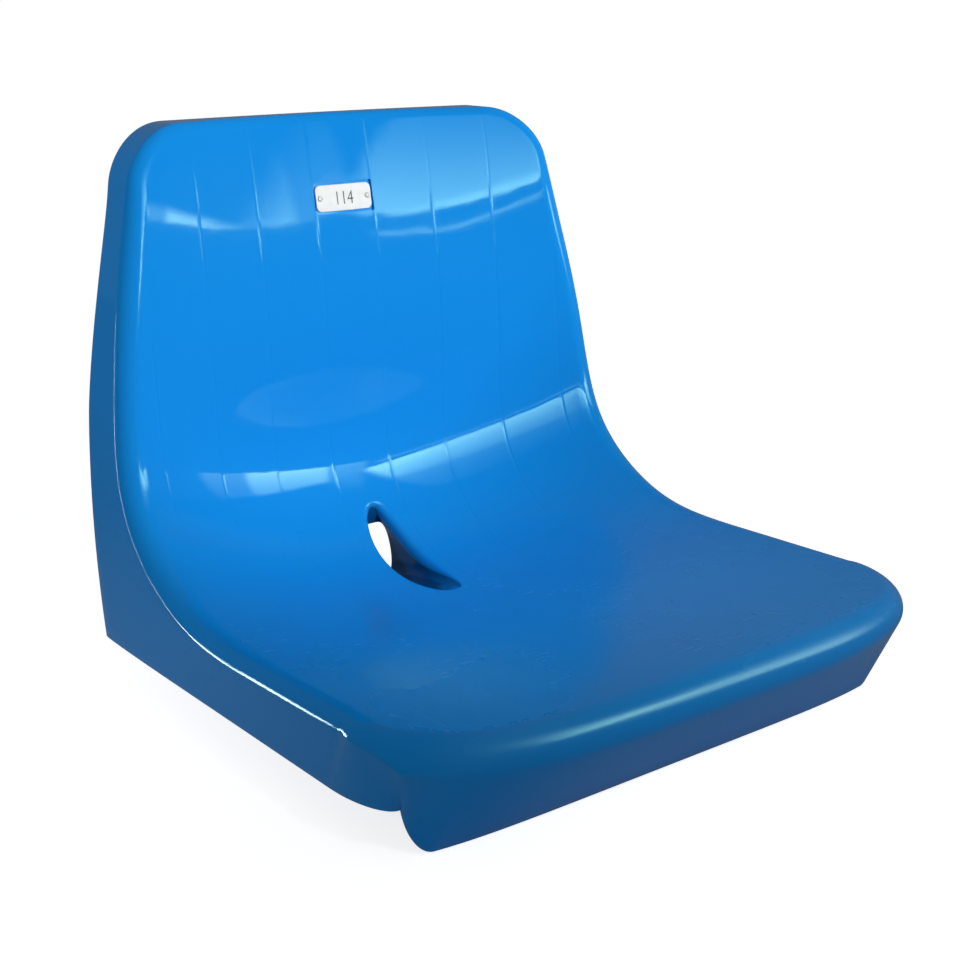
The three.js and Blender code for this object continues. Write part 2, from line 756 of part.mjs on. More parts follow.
for (const place of bossPlaces) {
  const insert = toMesh(insertGeometry(), `insert_${place.name}`, 0xb08d4a, 0.35, 1);
  insert.position.set(place.x, place.y, apronDrop);
  seat.add(insert);
}

const plateGroup = new THREE.Group();
plateGroup.applyMatrix4(plateMatrix);
plateGroup.add(toMesh(numberPlate(), 'number_plate', 0xf2f4f6, 0.35, 0));
for (const [side, x] of rivetPlaces) {
  const rivet = toMesh(rivetGeometry(), `plate_rivet_${side}`, 0xc9ccd0, 0.3, 1);
  rivet.position.setX(x);
  plateGroup.add(rivet);
}
seat.add(plateGroup);

export default seat;
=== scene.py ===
import math

import bmesh
import bpy
import numpy as np
from mathutils import Matrix, Vector


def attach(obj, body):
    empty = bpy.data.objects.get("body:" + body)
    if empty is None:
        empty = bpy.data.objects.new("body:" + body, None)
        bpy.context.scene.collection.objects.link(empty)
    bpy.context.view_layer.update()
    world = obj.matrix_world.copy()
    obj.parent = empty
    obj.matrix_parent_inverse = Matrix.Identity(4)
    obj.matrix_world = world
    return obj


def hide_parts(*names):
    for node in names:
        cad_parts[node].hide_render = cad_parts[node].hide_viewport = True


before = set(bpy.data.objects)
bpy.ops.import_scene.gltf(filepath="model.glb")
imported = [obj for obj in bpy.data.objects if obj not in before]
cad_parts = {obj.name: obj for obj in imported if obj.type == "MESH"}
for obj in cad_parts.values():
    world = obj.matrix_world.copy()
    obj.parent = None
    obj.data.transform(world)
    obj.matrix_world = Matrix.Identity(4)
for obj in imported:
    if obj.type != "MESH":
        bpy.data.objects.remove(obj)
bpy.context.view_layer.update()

# The seat shell is one injection moulding in blue plastic: pan, back, rolled rim, skirts and
# drain spout in a single wall 4 mm thick. Two spline profiles, on the centre line and at the
# rim, are blended by the square of the distance across, so every cross-section is a parabola.
seat_width = 0.4364
seat_depth = 0.4335
back_height = 0.349
apron_drop = 0.028
wall = 0.004
half_width = seat_width / 2
half_depth = seat_depth / 2

# Control shares from the lip to the top: depth and height on the centre line, depth and height
# at the rim, and the width.
centre_depths, centre_heights, rim_depths, rim_heights, width_shares = np.transpose([
    [0.036, 0.146, 0.036, 0.143, 1],
    [0.102, 0.143, 0.103, 0.146, 1],
    [0.225, 0.119, 0.223, 0.144, 1],
    [0.425, 0.098, 0.429, 0.141, 1],
    [0.606, 0.056, 0.605, 0.141, 0.998],
    [0.819, 0.059, 0.709, 0.212, 0.992],
    [0.929, 0.28, 0.811, 0.308, 0.98],
    [0.9, 0.518, 0.838, 0.521, 0.95],
    [0.926, 0.75, 0.864, 0.752, 0.88],
    [0.948, 0.906, 0.882, 0.902, 0.82],
    [0.965, 0.982, 0.9, 0.978, 0.8],
])
rear_edge_shares = [0.908, 0.922, 0.943, 0.952, 0.952, 0.956, 0.968, 1]


def lerp(low, high, share):
    return low + (high - low) * share


def unit(vectors):
    return vectors / np.linalg.norm(vectors, axis=-1, keepdims=True)


def spline(values, share):
    """Clamped, uniform cubic B-spline through a list of control values."""
    degree = 3
    values = np.asarray(values, float)
    spans = len(values) - degree
    knots = np.clip(np.arange(len(values) + degree + 1) - degree, 0, spans)
    place = np.clip(share, 0, 1) * spans
    span = np.minimum(place.astype(int), spans - 1)
    points = [values[span + i] for i in range(degree + 1)]
    for level in range(1, degree + 1):
        for i in range(degree, level - 1, -1):
            low = knots[span + i]
            high = knots[span + i + 1 + degree - level]
            points[i] = lerp(points[i - 1], points[i], (place - low) / (high - low))
    return points[degree]


def width_at(run_share):
    return half_width * spline(width_shares, run_share)


def rear_edge_y(z):
    return seat_depth * spline(rear_edge_shares, (z - apron_drop) / back_height) - half_depth


def sheet_point(x, run_share):
    """Seating surface at x across and a share of the run from the front lip to the top."""
    across = (x / width_at(run_share)) ** 2
    depth = lerp(spline(centre_depths, run_share), spline(rim_depths, run_share), across)
    height = lerp(spline(centre_heights, run_share), spline(rim_heights, run_share), across)
    return np.stack([x, seat_depth * depth - half_depth, back_height * height + apron_drop], -1)


def sheet_normal(x, run_share):
    probe = 1 / 4000
    step = seat_width * probe
    across = sheet_point(x + step, run_share) - sheet_point(x - step, run_share)
    after = sheet_point(x, np.minimum(run_share + probe, 1))
    before = sheet_point(x, np.maximum(run_share - probe, 0))
    return unit(np.cross(across, after - before))


run_points = 401
centre_line = sheet_point(np.zeros(run_points), np.linspace(0, 1, run_points))
run = np.linalg.norm(np.diff(centre_line, axis=0), axis=1).sum()

rim_radius = 0.015
top_rim_radius = 0.01
shoulder_radius = 0.002
shoulder_fold = math.radians(30)
top_rim_start = 0.85
front_corner_radius = 0.036
top_corner_radius = 0.034
lip_bow = 0.042
lip_bow_power = 4


def rim_radius_at(run_share):
    blend = np.clip((run_share - top_rim_start) / (1 - top_rim_start), 0, 1)
    return lerp(rim_radius, top_rim_radius, blend * blend * (3 - 2 * blend))


def roll_reach(radius, fold):
    """From the roll's centre to the skirt, where a tight shoulder takes the last turn, fold."""
    return shoulder_radius + (radius - shoulder_radius) * np.cos(fold)


def side_x(run_share):
    """The surface stops where the rim's roll starts, whose widest point is the full width."""
    radius = rim_radius_at(run_share)
    tilt = sheet_normal(width_at(run_share) - radius, run_share)[..., 0]
    return width_at(run_share) - roll_reach(radius, shoulder_fold) + radius * tilt


def corner_x(run_share):
    return side_x(run_share) - lerp(front_corner_radius, top_corner_radius, run_share)


def front_share(x):
    return lip_bow / run * (x / half_width) ** lip_bow_power


# Mesh of the right half, in rows along the run and columns across it. The centre column
# opens into the drain slot, and the last columns run to the rounded corners.
slot_half_width = 0.0127
slot_lip = 0.007
slot_front = 0.385
slot_rear = 0.565
slot_round_power = 0.38
front_rows, slot_rows, back_rows = 66, 60, 66
front_corner_rows, top_corner_rows, heel_slot_row = 36, 24, 42
sheet_columns, corner_columns = 48, 12

slot_swing = (1 - np.cos(np.pi * np.arange(slot_rows) / slot_rows)) / 2
row_shares = np.concatenate([
    slot_front * np.arange(front_rows) / front_rows,
    lerp(slot_front, slot_rear, slot_swing),
    lerp(slot_rear, 1, np.arange(back_rows + 1) / back_rows),
])
last_row = len(row_shares) - 1
last_column = sheet_columns + corner_columns
right_angle = math.pi / 2

slot_place = np.clip((row_shares - slot_front) / (slot_rear - slot_front), 0, 1)
slot_bulge = (4 * slot_place * (1 - slot_place)) ** slot_round_power
slot_half_opening = (slot_half_width + slot_lip) * slot_bulge

rows = np.arange(last_row + 1)
zero = np.zeros(1)
lip_corner_x = corner_x(zero)
side_start = front_share(side_x(zero)) + front_corner_radius / run
side_end = 1 - top_corner_radius / run
front_turn = right_angle * rows / front_corner_rows
front_x = lip_corner_x + front_corner_radius * np.sin(front_turn)
lip_shares = front_share(front_x) + front_corner_radius / run * (1 - np.cos(front_turn))
rows_from_top = last_row - rows
top_turn = right_angle * rows_from_top / top_corner_rows
top_shares = 1 - top_corner_radius / run * (1 - np.cos(top_turn))
top_x = corner_x(zero + 1) + (side_x(top_shares) - corner_x(zero + 1)) * np.sin(top_turn)
first_side, last_side = row_shares[front_corner_rows], row_shares[last_row - top_corner_rows]
side_place = (row_shares - first_side) / (last_side - first_side)
side_shares = np.clip(lerp(side_start, side_end, side_place), 0, 1)
is_front, is_top = rows <= front_corner_rows, rows_from_top <= top_corner_rows
edge_shares = np.where(is_front, lip_shares, np.where(is_top, top_shares, side_shares))
edge_x = np.where(is_front, front_x, np.where(is_top, top_x, side_x(side_shares)))

columns = np.arange(last_column + 1)[:, None]
column_share = np.minimum(columns / sheet_columns, 1)
grid_x = lerp(slot_half_opening[None], corner_x(row_shares)[None], column_share)
bow = front_share(lip_corner_x) * column_share ** lip_bow_power
grid_shares = lerp(bow, 1, row_shares[None])
corner_share = np.maximum(columns - sheet_columns, 0) / corner_columns
grid_x = lerp(grid_x, edge_x[None], corner_share)
grid_shares = lerp(grid_shares, edge_shares[None], corner_share)
sheet_points = sheet_point(grid_x, grid_shares)
sheet_normals = sheet_normal(grid_x, grid_shares)

# The rim rolls over from the sheet and runs down as a skirt: the front apron, the side
# skirts whose foot is level, and the rear edge that rises from their heel.
foot_half_width = 0.217
apron_setback = 0.047
apron_bow = 0.0045
apron_bow_power = 6
apron_half_width = 0.182
notch_width = 0.0185
notch_setback = 0.0125
notch_lead = 0.046
fan_start, fan_end, fan_power = 0.3, 0.72, 1.6
edge_round = 0.0009
corner_swell = 0.004
rim_steps, shoulder_steps, skirt_steps, edge_steps = 12, 4, 8, 4

rim_index = [(column, 0) for column in range(sheet_columns)]
rim_index += [(last_column, row) for row in range(last_row + 1)]
rim_index += [(column, last_row) for column in range(sheet_columns - 1, -1, -1)]
rim_column, rim_row = np.array(rim_index).T
rim_points, rim_normals = sheet_points[rim_column, rim_row], sheet_normals[rim_column, rim_row]
rim_shares = grid_shares[rim_column, rim_row]


def edge_outward(loop, normals, side):
    """Direction in the surface, square to its edge. A mirrored neighbour ends the half loop."""
    mirror = np.array([-1, 1, 1])
    ahead = np.concatenate([loop[1:], loop[-2:-1] * mirror]) - loop
    back = loop - np.concatenate([loop[1:2] * mirror, loop[:-1]])
    back_length, ahead_length = np.linalg.norm([back, ahead], axis=2, keepdims=True)
    ratio = back_length / ahead_length
    return unit(np.cross(ahead * ratio + back / ratio, normals)) * side


def rolled_section(start, normal, outward, radius, edge, fold, swell):
    """Closed-off sections of the wall that roll over and run straight to a free edge."""
    def facing(angle):
        cosine, sine = np.cos(angle)[..., None], np.sin(angle)[..., None]
        return normal[:, None] * cosine + outward[:, None] * sine

    centre = start - normal * radius[:, None]
    depth = roll_reach(radius, fold)
    reach = edge - centre
    sideways = (reach * outward).sum(-1)
    upward = (reach * normal).sum(-1)
    bearing = np.arctan2(sideways, upward) % (2 * np.pi)
    turn = bearing - np.arccos(np.minimum(depth / np.hypot(sideways, upward), 1))
    flat = facing(turn[:, None])
    shares = np.linspace(0, 1, rim_steps + 1)
    bulge = flat * (swell[:, None] * shares ** 2)[..., None]
    roll = centre[:, None] + facing((turn - fold)[:, None] * shares) * radius[:, None, None] + bulge
    tight = turn[:, None] - fold[:, None] * (1 - np.arange(1, shoulder_steps + 1) / shoulder_steps)
    tight = facing(tight) - facing((turn - fold)[:, None])
    roll = np.concatenate([roll, roll[:, -1:] + tight * shoulder_radius], 1)
    inner_radius = lerp(radius[:, None], depth[:, None], shares) - wall
    inner_roll = centre[:, None] + facing(turn[:, None] * shares) * inner_radius[..., None] + bulge
    down = unit(edge - roll[:, -1])[:, None]
    stop = edge[:, None] - down * edge_round
    shares = np.arange(1, skirt_steps + 1)[None, :, None] / skirt_steps
    skirt = lerp(roll[:, -1:], stop, shares)
    bend = right_angle * np.arange(1, edge_steps + 1)[None, :, None] / edge_steps
    outer_edge = stop - flat * edge_round + (flat * np.cos(bend) + down * np.sin(bend)) * edge_round
    bend = right_angle - bend + right_angle / edge_steps
    inner_bend = (-flat * np.cos(bend) + down * np.sin(bend)) * edge_round
    inner_edge = stop - flat * (wall - edge_round) + inner_bend
    behind = lerp(inner_roll[:, -1:], stop - flat * wall, shares)
    hidden = [behind[:, ::-1], inner_roll[:, ::-1]]
    return np.concatenate([roll, skirt, outer_edge, inner_edge, *hidden], 1)


notch_row = front_corner_rows // 2
notch_x, notch_depth = apron_half_width + notch_width, apron_setback + notch_setback
apron_x = apron_half_width * rim_column / sheet_columns
apron_depth = apron_setback + apron_bow * (apron_x / apron_half_width) ** apron_bow_power
apron_edge = np.stack([apron_x, apron_depth - half_depth, 0 * apron_x], -1)
rise = right_angle * rim_row / notch_row
rise_depth = lerp(notch_depth, apron_setback + apron_bow, np.cos(rise)) - half_depth
rise_x = apron_half_width + notch_width * np.sin(rise)
rise_edge = np.stack([rise_x, rise_depth, apron_drop * (1 - np.cos(rise))], -1)
lead = rise - right_angle
lead_x = notch_x + (foot_half_width - notch_x) * np.sin(lead)
lead_depth = notch_depth + notch_lead * (1 - np.cos(lead)) - half_depth
lead_edge = np.stack([lead_x, lead_depth, 0 * lead + apron_drop], -1)

heel_y = rear_edge_y(np.array(apron_drop))
heel_share = row_shares[front_rows + heel_slot_row]


def skirt_edge(start, run_share):
    """Free edge on the level foot up to the heel, and on the rising rear edge after it."""
    foot_fan = np.maximum(0, (run_share - fan_start) / (heel_share - fan_start)) ** fan_power
    foot_x = lerp(foot_half_width, start[:, 0], foot_fan)
    foot = np.stack([foot_x, lerp(start[:, 1], heel_y, foot_fan), 0 * run_share + apron_drop], -1)
    fan = np.maximum(0, (fan_end - run_share) / (fan_end - heel_share))
    z = lerp(start[:, 2], apron_drop, np.minimum(fan, 1) ** fan_power)
    rear = np.stack([start[:, 0], rear_edge_y(z), z], -1)
    return np.where((run_share <= heel_share)[:, None], foot, rear)


rim_outward = edge_outward(rim_points, rim_normals, 1)
rim_radii = rim_radius_at(rim_shares)
heading = unit(skirt_edge(rim_points, rim_shares) - rim_points)
sideways = unit(rim_outward - heading * (rim_outward * heading).sum(-1, keepdims=True))
rim_reach = roll_reach(rim_radii, shoulder_fold)
shoulder = rim_points + rim_reach[:, None] * sideways - rim_radii[:, None] * rim_normals
free_edge = skirt_edge(shoulder, rim_shares)
side_node = sheet_columns + front_corner_rows
side_lag = lead_edge[side_node, 1] - rim_points[side_node, 1]
lag_share = np.maximum(0, (fan_start - rim_shares) / (fan_start - rim_shares[side_node]))
free_edge[:, 1] += side_lag * np.where(rim_row < last_row, lag_share, 0)
is_apron = np.arange(len(rim_row)) < sheet_columns
is_rise = ~is_apron & (rim_row <= notch_row)
is_lead = ~is_apron & (rim_row > notch_row) & (rim_row <= front_corner_rows)
free_edge = np.where(is_apron[:, None], apron_edge, free_edge)
free_edge = np.where(is_rise[:, None], rise_edge, free_edge)
free_edge = np.where(is_lead[:, None], lead_edge, free_edge)
corner_share = np.where(is_apron, 0, np.minimum(rim_row / front_corner_rows, 1))
rim_fold = shoulder_fold * np.clip(2 * corner_share - 1 / 2, 0, 1)
rim_swell = corner_swell * (1 - np.abs(2 * corner_share - 1)) ** 2
rim_section = rolled_section(
    rim_points, rim_normals, rim_outward, rim_radii, free_edge, rim_fold, rim_swell,
)

# The drain slot lets rain off the pan. Its lip rolls down the same way and becomes the spout
# behind the pan, which ends just above the foot of the side skirts.
spout_top_setback = 0.055
spout_bottom_setback = 0.066
spout_bottom_height = 0.0055
spout_top_height = 0.0435
slot_rows_range = slice(front_rows, front_rows + slot_rows + 1)
slot_points, slot_normals = sheet_points[0, slot_rows_range], sheet_normals[0, slot_rows_range]
slot_turn = np.pi * np.arange(slot_rows + 1) / slot_rows
spout_rise = (1 - np.cos(slot_turn)) / 2
spout_end = np.stack([
    slot_half_width * np.abs(np.sin(slot_turn)) ** slot_round_power,
    half_depth - lerp(spout_bottom_setback, spout_top_setback, spout_rise),
    apron_drop + lerp(spout_bottom_height, spout_top_height, spout_rise),
], -1)
spout_end[[0, -1], 0] = 0
slot_outward = edge_outward(slot_points, slot_normals, -1)
blank = np.zeros(slot_rows + 1)
slot_section = rolled_section(
    slot_points, slot_normals, slot_outward, blank + slot_lip, spout_end, fold=blank, swell=blank,
)


def mirrored_mesh(name, patches):
    """One closed mesh from patches of the right half and their mirror images. Each patch comes with
    its values of two attributes: seating_side, and drain, the weight of the painted shade that
    darkens the slot from its lip inwards.
    """
    vertices, faces, marks = [], [], []
    for patch, seating_side, drain in patches:
        count, length = patch.shape[:2]
        for mirror in (1, -1):
            base = sum(len(block) for block in vertices)
            vertices.append(patch.reshape(-1, 3) * [mirror, 1, 1])
            values = np.broadcast_arrays(seating_side, drain, patch[..., 0])[:2]
            marks.append(np.stack(values, -1).reshape(-1, 2))
            i, j = np.meshgrid(np.arange(count - 1), np.arange(length - 1), indexing="ij")
            corner = base + (i * length + j).ravel()
            quad = np.stack([corner, corner + length, corner + length + 1, corner + 1], -1)
            faces.append(quad[:, ::mirror])
    mesh = bpy.data.meshes.new(name)
    mesh.from_pydata(np.concatenate(vertices), [], np.concatenate(faces).tolist())
    for label, values in zip(("seating_side", "drain"), np.concatenate(marks).T):
        layer = mesh.attributes.new(label, "FLOAT", "POINT")
        layer.data.foreach_set("value", np.ascontiguousarray(values))
    work = bmesh.new()
    work.from_mesh(mesh)
    bmesh.ops.remove_doubles(work, verts=work.verts, dist=1e-6)
    bmesh.ops.dissolve_degenerate(work, edges=work.edges, dist=1e-6)
    work.to_mesh(mesh)
    work.free()
    return mesh


# Weight of the painted shade inside the slot: none at its lip, full in the spout.
slot_shade_share = np.clip(np.arange(slot_section.shape[1]) / rim_steps - 1 / 3, 0, 1)
shell_mesh = mirrored_mesh("seat_shell_skin", [
    (sheet_points, 1, 0),
    ((sheet_points - wall * sheet_normals)[::-1], 0, 0),
    (rim_section[:, ::-1], 0, 0),
    (slot_section, 0, slot_shade_share),
])


# A shallow pocket near the top of the back takes the number plate, and two holes take its
# rivets. All three are cut square to the back, out of the finished mesh.
pocket_width, pocket_height, pocket_depth = 0.051, 0.023, 0.0011
pocket_corner_radius = 0.0015
pocket_middle = 0.289
rivet_spacing = 0.041
rivet_hole_radius = 0.0014
corner_points, rivet_hole_points = 17, 32
crease = math.radians(30)
height_points = 2000

plate_shares = np.linspace(slot_rear, 1, height_points)
line_heights = sheet_point(0 * plate_shares, plate_shares)[:, 2]
plate_share = np.interp(apron_drop + pocket_middle, line_heights, plate_shares) + zero
plate_outward = Vector(sheet_normal(zero, plate_share)[0])
plate_across = Vector((1, 0, 0))
plate_upward = plate_outward.cross(plate_across)
plate_frame = Matrix((plate_across, plate_upward, plate_outward)).transposed().to_4x4()
plate_frame.translation = sheet_point(zero, plate_share)[0]


def meshed(name, curve, place, *materials):
    """Object with the plain mesh of a curve, moved to its place."""
    source = bpy.data.objects.new(name, curve)
    bpy.context.scene.collection.objects.link(source)
    graph = bpy.context.evaluated_depsgraph_get()
    mesh = bpy.data.meshes.new_from_object(source.evaluated_get(graph), depsgraph=graph)
    bpy.data.objects.remove(source)
    work = bmesh.new()
    work.from_mesh(mesh)
    bmesh.ops.remove_doubles(work, verts=work.verts, dist=1e-6)
    work.transform(place)
    work.to_mesh(mesh)
    work.free()
    mesh.materials.clear()
    for material in materials:
        mesh.materials.append(material)
    mesh.shade_smooth()
    mesh.set_sharp_from_angle(angle=crease)
    made = bpy.data.objects.new(name, mesh)
    bpy.context.scene.collection.objects.link(made)
    return made


def outline(curve, points):
    """Closed straight-line outline in a flat curve."""
    line = curve.splines.new("POLY")
    line.points.add(len(points) - 1)
    line.points.foreach_set("co", [value for x, y in points for value in (x, y, 0, 1)])
    line.use_cyclic_u = True


def rounded_rectangle(width, height, radius):
    points = []
    for quarter, (side, end) in enumerate(((1, 1), (-1, 1), (-1, -1), (1, -1))):
        middle_x, middle_y = (width / 2 - radius) * side, (height / 2 - radius) * end
        for turn in np.linspace(0, right_angle, corner_points) + quarter * right_angle:
            points.append((middle_x + radius * math.cos(turn), middle_y + radius * math.sin(turn)))
    return points


def rivet_circle(side):
    turns = np.linspace(0, 2 * np.pi, rivet_hole_points, endpoint=False)
    circle = rivet_hole_radius * np.stack([np.cos(turns), np.sin(turns)], -1)
    return (circle + [side * rivet_spacing / 2, 0]).tolist()


def cut(body, points, low, high):
    """The body less the upright block on an outline, between two heights in the plate's frame."""
    curve = bpy.data.curves.new("cut_outline", "CURVE")
    curve.dimensions = "2D"
    curve.fill_mode = "BOTH"
    curve.extrude = (high - low) / 2
    outline(curve, points)
    block = meshed("cut_block", curve, plate_frame @ Matrix.Translation((0, 0, (low + high) / 2)))
    difference = body.modifiers.new("cut", "BOOLEAN")
    difference.object = block
    difference.solver = "EXACT"
    graph = bpy.context.evaluated_depsgraph_get()
    mesh = bpy.data.meshes.new_from_object(body.evaluated_get(graph), depsgraph=graph)
    body.modifiers.remove(difference)
    body.data = mesh
    bpy.data.objects.remove(block)


shell = bpy.data.objects.new("seat_shell_skin", shell_mesh)
bpy.context.scene.collection.objects.link(shell)
pocket = rounded_rectangle(pocket_width, pocket_height, pocket_corner_radius)
cut(shell, pocket, -pocket_depth, pocket_depth)
for side in (-1, 1):
    cut(shell, rivet_circle(side), -2 * wall, wall)
shell_mesh = shell.data
shell_mesh.name = "seat_shell_skin"


class Net:
    """A node tree to which nodes are added one by one."""

    def __init__(self, tree):
        self.tree = tree

    def node(self, kind, settings=None, values=None, output=0):
        """Add a node with its settings, its values or links by socket, and return an output."""
        made = self.tree.nodes.new(kind)
        for key, value in (settings or {}).items():
            setattr(made, key, value)
        for key, value in (values or {}).items():
            if isinstance(value, Field):
                self.tree.links.new(value.socket, made.inputs[key])
            else:
                made.inputs[key].default_value = value
        return Field(self, made.outputs[output])

    def mix(self, factor, first, second):
        """Colour between two colours or colour fields, at a factor from 0 to 1. A Mix node has
        them at its inputs 6 and 7 and gives the result at its output 2.
        """
        ends = [part if isinstance(part, Field) else (*part, 1) for part in (first, second)]
        values = {0: factor, 6: ends[0], 7: ends[1]}
        return self.node("ShaderNodeMix", {"data_type": "RGBA"}, values, 2)

    def feed(self, shader, **fields):
        """Link fields to the sockets of a shader by their labels."""
        for label, field in fields.items():
            self.tree.links.new(field.socket, shader.inputs[label.replace("_", " ")])


class Field:
    """An output socket that takes part in sums as a number or a vector does."""

    def __init__(self, net, socket):
        self.net = net
        self.socket = socket

    def sibling(self, name):
        return Field(self.net, self.socket.node.outputs[name])

    def math(self, operation, *parts):
        """Maths node over the parts, in which this field is the first unless parts hold it."""
        parts = parts if any(part is self for part in parts) else (self, *parts)
        is_vector = any(isinstance(part, Field) and part.socket.type == "VECTOR" for part in parts)
        if is_vector:
            parts = [part if isinstance(part, (Field, tuple)) else (part,) * 3 for part in parts]
        kind = "ShaderNodeVectorMath" if is_vector else "ShaderNodeMath"
        return self.net.node(kind, {"operation": operation}, dict(enumerate(parts)))

    def __add__(self, other):
        return self.math("ADD", other)

    def __radd__(self, other):
        return self.math("ADD", other, self)

    def __sub__(self, other):
        return self.math("SUBTRACT", other)

    def __rsub__(self, other):
        return self.math("SUBTRACT", other, self)

    def __mul__(self, other):
        return self.math("MULTIPLY", other)

    def __rmul__(self, other):
        return self.math("MULTIPLY", other, self)

    def __truediv__(self, other):
        return self.math("DIVIDE", other)

    def __rtruediv__(self, other):
        return self.math("DIVIDE", other, self)


def plain_material(name, colour, roughness, **constants):
    """New material with constants on its shader. Returns it with its net and its shader."""
    made = bpy.data.materials.new(name)
    made.use_nodes = True
    shader = made.node_tree.nodes["Principled BSDF"]
    shader.inputs["Base Color"].default_value = (*colour, 1)
    shader.inputs["Roughness"].default_value = roughness
    for label, value in constants.items():
        shader.inputs[label.replace("_", " ")].default_value = value
    return made, Net(made.node_tree), shader


def ramp(value, low, high, start=0, end=1):
    """Smooth step from start to end while the value goes from low to high."""
    span = {"Value": value, "From Min": low, "From Max": high, "To Min": start, "To Max": end}
    return value.net.node("ShaderNodeMapRange", {"interpolation_type": "SMOOTHSTEP"}, span)


def noise(place, scale, detail=2, roughness=0.5):
    """Cloudy noise from 0 to 1 with the given number of waves to the metre."""
    sizes = {"Vector": place, "Scale": scale, "Detail": detail, "Roughness": roughness}
    return place.net.node("ShaderNodeTexNoise", values=sizes)


def relief_bump(height):
    """Normal of a surface with the given height in metres."""
    return height.net.node("ShaderNodeBump", values={"Distance": 1, "Height": height})


# The plastic is through-coloured and glossy. Its pan is dulled and scuffed by use, and its
# face sinks in by a hair in front of each rib, as thick spots of a moulding do.
plastic_blue = (0.006, 0.27, 0.775)
scuffed_blue = (0.035, 0.31, 0.76)
# Dark navy painted inside the drain slot, as painted shade for its deep spout.
slot_shade_navy = (0.002, 0.045, 0.15)
gloss_level, gloss_tint = 0.28, (0.4, 0.9, 1, 1)
fresh_gloss, worn_gloss, skirt_gloss = 0.05, 0.3, 0.08
gloss_clouding, scuff_dulling = 0.03, 0.12
cloud_waves = 9
pan_wear_from, pan_wear_to = 0.14, 0.03
lip_wear_from, lip_wear_to = -0.17, -0.2
lip_wear_low, lip_wear_high = 0.055, 0.075
wear_span, wear_levels, wear_fading = (0.25, 0.7), (0.55, 1), 0.4
scuff_stretch, scuff_waves, scuff_span = (1, 9, 1), 60, (0.62, 0.72)
scuff_patch_waves, scuff_patch_span = 14, (0.5, 0.62)
scuff_depth = 0.00002
slot_shade_span, slot_shade_levels = (0.3, 0.6), (0.7, 0.95)
rib_pitch = 0.0508
sink_width, sink_depth = 0.0016, 0.00012
sink_waves, sink_span, sink_levels = 7, (0.35, 0.6), (0.25, 1)
peel_waves, peel_depth = 700, 0.000004
sag_waves, sag_depth = 22, 0.00012
shell_crease = math.radians(26)

blue, net, bsdf = plain_material(
    "gloss_blue_plastic", plastic_blue, fresh_gloss,
    Specular_IOR_Level=gloss_level, Specular_Tint=gloss_tint,
)
place = net.node("ShaderNodeTexCoord", output="Object")
axes = net.node("ShaderNodeSeparateXYZ", values={"Vector": place})
depth, height = axes.sibling("Y"), axes.sibling("Z")
seating = net.node("ShaderNodeAttribute", {"attribute_name": "seating_side"}, output="Fac")
drain = net.node("ShaderNodeAttribute", {"attribute_name": "drain"}, output="Fac")
cloud = noise(place, cloud_waves, detail=4)

lip = ramp(height, lip_wear_low, lip_wear_high) * ramp(depth, lip_wear_from, lip_wear_to)
pan = ramp(depth, pan_wear_from, pan_wear_to) * seating.math("MAXIMUM", lip)
wear = pan * ramp(cloud, *wear_span, *wear_levels)
scuffs = noise(place.math("MULTIPLY", scuff_stretch), scuff_waves, detail=4, roughness=0.6)
scuff_patches = ramp(noise(place, scuff_patch_waves), *scuff_patch_span)
scuffs = ramp(scuffs, *scuff_span) * scuff_patches * pan

dull = wear * (worn_gloss - fresh_gloss) + (1 - seating) * (skirt_gloss - fresh_gloss)
dull = dull + scuffs * scuff_dulling + cloud * gloss_clouding
tone = net.mix((wear + scuffs) * wear_fading, plastic_blue, scuffed_blue)
# Painted shade: the drain slot's walls darken to navy in blotches, from the lip inwards.
tone = net.mix(drain * ramp(cloud, *slot_shade_span, *slot_shade_levels), tone, slot_shade_navy)
rib_distance = (axes / rib_pitch + 0.5).math("PINGPONG", 0.5) * rib_pitch
sink = ramp(rib_distance, sink_width, 0) * seating
sink = sink * ramp(noise(place, sink_waves), *sink_span, *sink_levels)
relief = noise(place, peel_waves) * peel_depth + noise(place, sag_waves) * sag_depth
relief = relief - sink * sink_depth - scuffs * scuff_depth
net.feed(
    bsdf,
    Base_Color=tone,
    Roughness=dull + (fresh_gloss - gloss_clouding / 2),
    Normal=relief_bump(relief),
)
shell_mesh.materials.append(blue)
shell_mesh.shade_smooth()
shell_mesh.set_sharp_from_angle(angle=shell_crease)
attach(shell, "root")
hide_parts("seat_shell")


# Eight stiffening ribs, 3 mm thick, are moulded in one with the shell on its hidden side and
# run from the lip to the top. The inner ones end in the apron and in the top skirt.
rib_count = 8
rib_thickness = 0.003
rib_depth = 0.012
rib_setback = 0.0025
rib_inset = 0.005
rib_rows = 160


def geometry_tree(name, inputs):
    """New geometry tree with named inputs. Returns its net and a field for each input."""
    tree = bpy.data.node_groups.new(name, "GeometryNodeTree")
    tree.interface.new_socket("Geometry", in_out="OUTPUT", socket_type="NodeSocketGeometry")
    inputs = {"Geometry": "NodeSocketGeometry", "Material": "NodeSocketMaterial", **inputs}
    for label, kind in inputs.items():
        tree.interface.new_socket(label, in_out="INPUT", socket_type=kind)
    net = Net(tree)
    first = net.node("NodeGroupInput")
    return net, {label: first.sibling(label) for label in inputs}


def close_tree(net, geometry, material):
    real = net.node("GeometryNodeRealizeInstances", values={"Geometry": geometry})
    painted = net.node("GeometryNodeSetMaterial", values={"Geometry": real, "Material": material})
    last = net.tree.nodes.new("NodeGroupOutput")
    net.tree.links.new(painted.socket, last.inputs["Geometry"])
    return net.tree


